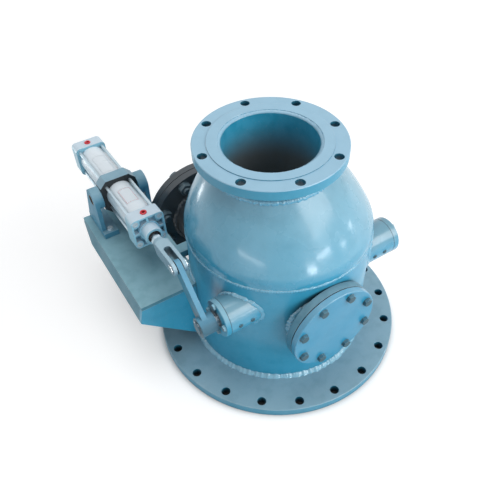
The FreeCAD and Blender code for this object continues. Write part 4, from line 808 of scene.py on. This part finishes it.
class FLAPVALVE_OT_fasteners(bpy.types.Operator):
    """Set the hexagon heads, nuts, washers and threads on their bolts, and the sealing
    lines and the paint at the shaft's housings"""
    bl_idname = "flap_valve.fasteners"
    bl_label = "Fasteners"

    def execute(self, context):
        b = context.scene.flap_valve_bolts

        def heads(name, places, out, across, finish, stands_for, height, washer_thick, spare=()):
            shapes = list(spare)
            out = np.asarray(out, float)
            for i, p in enumerate(places):
                if washer_thick:
                    shapes.append(washer(p, out, across, washer_thick))
                shapes.append(hex_head(p + out * washer_thick, out, across, height, 1.9 * i + 0.3))
            piece(name, together(shapes), "valve_body", finish, 28, stands_for)

        places = bolt_circle((INSPECT[0], INSPECT_LOW[1], INSPECT[2]), "y", INSPECT_BOLT_R, 8, 25.4)
        end = np.array([(0, 0), (5.0, 0), (5.8, 0.8), (5.8, 12), (0, 12)]) * MM
        ends = [turned(end, p * [1, 0, 1] + [0, INSPECT_BACK, 0], (0, -1, 0), 32) for p in places]
        heads("inspection_heads", places, (0, -1, 0), b.inspection_across, "bolt paint",
              ["inspection_bolts"], height=7.2 * MM, washer_thick=0.8 * MM, spare=ends)
        places = bolt_circle((GLAND_LOW[0], *SHAFT_YZ), "x", END_BOLT_R, 4, -10)
        heads("gland_heads", places, (-1, 0, 0), b.gland_across, "gland bolt paint",
              ["gland_bolts"], height=4.6 * MM, washer_thick=0.9 * MM)
        places = bolt_circle((COVER_HIGH[0], *SHAFT_YZ), "x", END_BOLT_R, 4, 20)
        heads("cover_heads", places, (1, 0, 0), b.cover_across, "zinc steel",
              ["idle_cover_screws"], height=4.0 * MM, washer_thick=0.0)

        shapes = []
        thick, nut = 2.5 * MM, 13.5 * MM
        places = bolt_circle((OUTLET[0], OUTLET_HIGH[1], OUTLET[2]), "y", OUTLET_BOLT_R, 8, 22.5)
        for i, p in enumerate(places):
            back = p * [1, 0, 1] + [0, OUTLET_BACK, 0]
            shapes += [
                hex_head(p, (0, 1, 0), b.outlet_across, 12.5 * MM, 1.3 * i),
                washer(back, (0, -1, 0), b.outlet_across, thick),
                hex_head(back - [0, thick, 0], (0, -1, 0), b.outlet_across, nut, 0.8 * i + 0.2),
                thread(back - [0, thick + nut - THREAD_SUNK, 0], (0, -1, 0), 10 * MM, 2.5 * MM, 7.0 * MM)]
        piece("outlet_heads", together(shapes), "valve_body", "outlet bolt painted shade", 28, ["outlet_bolts"])

        shapes = []
        under = float(BRACKET_LOW[2])
        foot, corner, thick, nut = under + 25 * MM, 7.5 * MM, 1.2 * MM, 6.5 * MM
        for x in (BOLTS_LOW[0] + corner, BOLTS_HIGH[0] - corner):
            for i, y in enumerate((BOLTS_LOW[1] + corner, BOLTS_HIGH[1] - corner)):
                p, low = np.array([x, y, foot]), np.array([x, y, under])
                shapes += [
                    washer(p, (0, 0, 1), b.gland_across, thick),
                    hex_head(p + [0, 0, thick], (0, 0, 1), b.gland_across, 4.3 * MM, i + x * 9),
                    hex_head(low, (0, 0, -1), b.gland_across, nut, i + 0.4),
                    thread(low - [0, 0, nut - THREAD_SUNK], (0, 0, -1), 4 * MM, 1.25 * MM, 2.0 * MM)]
        piece("foot_bolts", together(shapes), "valve_body", "zinc steel", 28, ["support_bolts"])

        r = HOUSING_R / MM
        lip = [(r - 0.5, -0.55), (r + 0.12, -0.5), (r + 0.16, 0), (r + 0.12, 0.5), (r - 0.5, 0.55), (r - 0.5, -0.55)]
        ends = HOUSING_END, float(COVER_LOW[0])
        shapes = [turned(np.array(lip) * MM, (x, *SHAFT_YZ), (1, 0, 0), 120) for x in ends]
        piece("housing_joints", together(shapes), "valve_body", "gasket rubber", 40)
        r = float(SHAFT_HIGH[2] - SHAFT_LOW[2]) / 2 - 0.9 * MM
        coat = np.array([(0, 0.2 * MM), (r - 0.6 * MM, 0.2 * MM), (r, -0.1 * MM), (r, -0.8 * MM), (0, -0.8 * MM)])
        piece("shaft_end_coat", turned(coat, (float(SHAFT_LOW[0]), *SHAFT_YZ), (-1, 0, 0), 64), "flap",
              "lever paint", 40)
        return {"FINISHED"}


class FLAPVALVE_OT_cylinder(bpy.types.Operator):
    """Fit the air cylinder: port plugs, rod wiper and the bare label places"""
    bl_idname = "flap_valve.cylinder"
    bl_label = "Air cylinder fittings"

    def execute(self, context):
        across_x = np.array([1.0, 0, 0])
        up = unit(np.cross(across_x, ROD_AXIS))
        plug = np.array([(0, -3), (3.9, -3), (4.0, 2.3), (4.6, 3.0), (6.9, 3.0), (7.6, 2.7), (8.0, 2.0), (8.0, 0.3),
                         (7.6, 0), (6.4, 0), (6.4, -9), (0, -9)]) * MM
        # Painted shade: a dark disc down in each plug's well, where the well lies in shade
        shade_disc = np.array([(0, -3.4), (3.85, -3.4), (3.85, -2.6), (0, -2.6)]) * MM
        seats = [PIN + along * ROD_AXIS + PORT_FACE * up for along in PORTS_ALONG]
        shape = together([turned(plug, seat, up, 64) for seat in seats])
        piece("red_plugs", shape, "cylinder", "plug plastic", 40, ["port_plugs"])
        shape = together([turned(shade_disc, seat, up, 40) for seat in seats])
        piece("plug_well_shade", shape, "cylinder", "gasket rubber", 40)
        lip = np.array([(10.15, 0.6), (12.6, 0.2), (13.6, 1.0), (13.9, 2.4), (13.9, 4.6), (10.15, 4.6), (10.15, 0.6)])
        shape = turned(lip * MM, PIN + NOSE_ALONG * ROD_AXIS, ROD_AXIS, 96)
        piece("rod_wiper", shape, "cylinder", "gasket rubber", 40)

        # Name, first and last place along the axis in mm, and 1 where a frame is drawn
        for name, start, end, framed in (("front_label", 222, 284, 1.0), ("rear_label", 372, 454, 0.0)):
            rows, columns, corner = 60, 33, 4 * MM
            along = np.linspace(start, end, rows) * MM
            from_end = np.minimum(along - along[0], along[-1] - along)
            into = np.clip(corner - from_end, 0, corner)
            half = LABEL_HALF - corner + np.sqrt(corner ** 2 - into ** 2)
            across = np.linspace(-1, 1, columns)[None, :] * half[:, None]
            side, rise = LABEL_R * np.sin(across / LABEL_R), LABEL_R * np.cos(across / LABEL_R)
            points = PIN + along[:, None, None] * ROD_AXIS + side[..., None] * across_x + rise[..., None] * up
            a, c = np.arange(rows - 1)[:, None] * columns, np.arange(columns - 1)[None, :]
            quads = np.stack([a + c, a + c + 1, a + columns + c + 1, a + columns + c], -1).reshape(-1, 4)
            mesh = bpy.data.meshes.new(name)
            mesh.from_pydata(points.reshape(-1, 3).tolist(), [], quads.tolist())
            mesh.shade_smooth()
            border = np.minimum(from_end[:, None], half[:, None] - np.abs(across))
            inset = mesh.attributes.new("inset", "FLOAT", "POINT")
            inset.data.foreach_set("value", (border * framed).ravel())
            obj = bpy.data.objects.new(name, mesh)
            context.scene.collection.objects.link(obj)
            mesh.materials.append(MATERIALS["label film"])
            solid = obj.modifiers.new("film", "SOLIDIFY")
            solid.thickness = 0.15 * MM
            solid.offset = 0
            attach(obj, "cylinder")
        return {"FINISHED"}


class FLAPVALVE_OT_stage(bpy.types.Operator):
    """Set the floor, the soft lights and the camera"""
    bl_idname = "flap_valve.stage"
    bl_label = "Studio"

    def execute(self, context):
        scene = context.scene
        studio = scene.flap_valve_studio
        half = 9.0
        mesh = bpy.data.meshes.new("floor")
        mesh.from_pydata([(-half, -half, 0), (half, -half, 0), (half, half, 0), (-half, half, 0)], [], [(0, 1, 2, 3)])
        floor = bpy.data.objects.new("floor", mesh)
        scene.collection.objects.link(floor)
        mat = bpy.data.materials.new("pale floor")
        mat.use_nodes = True
        tree = mat.node_tree
        bsdf = tree.nodes["Principled BSDF"].inputs
        bsdf["Roughness"].default_value = 0.9

        def looked_at(tree):
            """Rays that come from the camera, or by way of gloss or glass."""
            ray = add(tree, "LightPath").outputs
            seen = math_node(tree, "MAXIMUM", ray["Is Camera Ray"], ray["Is Glossy Ray"])
            return math_node(tree, "MAXIMUM", seen, ray["Is Transmission Ray"])

        # Painted shade: dark under the base, where the holes show the floor, and pale with a glow round it, stronger
        # far off
        base_r, glow_r, far_from, far_to, far_glow = 0.30, 0.33, 1.1, 3.2, 0.5
        where = add(tree, "TexCoord").outputs["Object"]
        away = add(tree, "VectorMath", {0: where}, operation="LENGTH").outputs["Value"]
        grey = (*[studio.floor_grey] * 3, 1)
        open_floor = spread(tree, away, base_r, base_r + 3 * MM)
        tree.links.new(blend_colour(tree, open_floor, (0.05, 0.05, 0.05, 1), grey), bsdf["Base Color"])
        near = spread(tree, away, base_r, glow_r, 0.0, studio.floor_glow)
        far = spread(tree, away, far_from, far_to, 0.0, far_glow)
        glow = times(tree, looked_at(tree), plus(tree, near, far))
        bsdf["Emission Color"].default_value = (1, 1, 1, 1)
        tree.links.new(glow, bsdf["Emission Strength"])
        mesh.materials.append(mat)

        world = bpy.data.worlds.new("studio")
        scene.world = world
        world.use_nodes = True
        tree = world.node_tree
        room = tree.nodes["Background"].inputs
        level = add(tree, "MapRange", {"Value": looked_at(tree), "To Min": studio.sky, "To Max": 1.0})
        room["Color"].default_value = (0.97, 0.985, 1.0, 1)
        tree.links.new(level.outputs[0], room["Strength"])

        aim = np.array([0.0, 0.0, 0.3])

        def stand(name, data, side, top, back, place):
            """Object whose own axes are side, top and back, at a place."""
            obj = bpy.data.objects.new(name, data)
            scene.collection.objects.link(obj)
            obj.matrix_world = Matrix([[side[k], top[k], back[k], place[k]] for k in range(3)] + [[0, 0, 0, 1]])
            return obj

        def area(name, place, width, height, power, colour):
            """Soft rectangular light turned to the middle of the valve."""
            light = bpy.data.lights.new(name, "AREA")
            light.shape = "RECTANGLE"
            light.size, light.size_y = width, height
            light.energy = power
            light.color = colour
            back = unit(np.array(place) - aim)
            side = unit(np.cross([0, 0, 1.0], back))
            stand(name, light, side, np.cross(back, side), back, place)

        def toward(azimuth, distance, height):
            a = math.radians(azimuth)
            return (distance * math.cos(a), distance * math.sin(a), height)

        area("side_light", toward(-58, 2.7, 2.0), 2.4, 2.0, studio.key_power, (1.0, 0.99, 0.98))
        area("ceiling_light", (-0.2, 0.5, 3.3), 2.2, 2.2, studio.top_power, (0.98, 0.99, 1.0))
        # Azimuth, distance, height, width and tallness in degrees and metres, and share of the power
        windows = (
            (-88, 3.2, 0.36, 0.50, 0.16, 1.1), (-72, 3.2, 0.62, 0.95, 0.10, 0.9), (-46, 3.2, 0.35, 0.34, 0.09, 0.6),
            (-28, 3.2, 0.30, 0.30, 0.09, 0.7), (-150, 3.2, 0.45, 1.7, 0.06, 0.8), (120, 1.5, 0.06, 0.15, 0.36, 0.35))
        for i, (azimuth, distance, height, wide, high, share) in enumerate(windows):
            area("window_%d" % (i + 1), toward(azimuth, distance, height), wide, high,
                 studio.window_power * share * wide * high, (0.96, 0.98, 1.0))

        lens = bpy.data.cameras.new("view")
        lens.lens = studio.lens
        lens.sensor_width = 36.0
        lens.clip_start, lens.clip_end = 0.05, 60
        # Worked out from the circles of the two flanges in the photograph
        right, ahead = unit((0.8463, -0.53248, -0.01565)), unit((0.35898, 0.59176, -0.72177))
        place = (-0.5664, -0.8030, 1.2714)
        camera = stand("view", lens, right, np.cross(right, ahead), -ahead, place)
        bpy.context.scene.camera = camera
        scene.view_settings.view_transform = "Standard"
        return {"FINISHED"}


OPERATORS = (FLAPVALVE_OT_finishes, FLAPVALVE_OT_dome, FLAPVALVE_OT_welds, FLAPVALVE_OT_fasteners,
             FLAPVALVE_OT_cylinder, FLAPVALVE_OT_stage)


class FLAPVALVE_PT_panel(bpy.types.Panel):
    bl_idname = "FLAPVALVE_PT_panel"
    bl_label = "Flap valve"
    bl_space_type = "VIEW_3D"
    bl_region_type = "UI"
    bl_category = "Flap valve"

    def draw(self, context):
        for operator in OPERATORS:
            self.layout.operator(operator.bl_idname)
        for name, group in SETTINGS:
            part = self.layout.box()
            for key in group.__annotations__:
                part.prop(getattr(context.scene, name), key)


SETTINGS = (("flap_valve_paint", FlapValvePaint), ("flap_valve_welds", FlapValveWelds),
            ("flap_valve_bolts", FlapValveBolts), ("flap_valve_studio", FlapValveStudio))


def register():
    for name, group in SETTINGS:
        bpy.utils.register_class(group)
        setattr(bpy.types.Scene, name, bpy.props.PointerProperty(type=group))
    for operator in OPERATORS:
        bpy.utils.register_class(operator)
    bpy.utils.register_class(FLAPVALVE_PT_panel)


def unregister():
    bpy.utils.unregister_class(FLAPVALVE_PT_panel)
    for operator in reversed(OPERATORS):
        bpy.utils.unregister_class(operator)
    for name, group in SETTINGS:
        delattr(bpy.types.Scene, name)
        bpy.utils.unregister_class(group)


def main():
    register()
    bpy.ops.flap_valve.finishes()
    bpy.ops.flap_valve.dome()
    bpy.ops.flap_valve.welds()
    bpy.ops.flap_valve.fasteners()
    bpy.ops.flap_valve.cylinder()
    bpy.ops.flap_valve.stage()


if __name__ == "__main__":
    main()
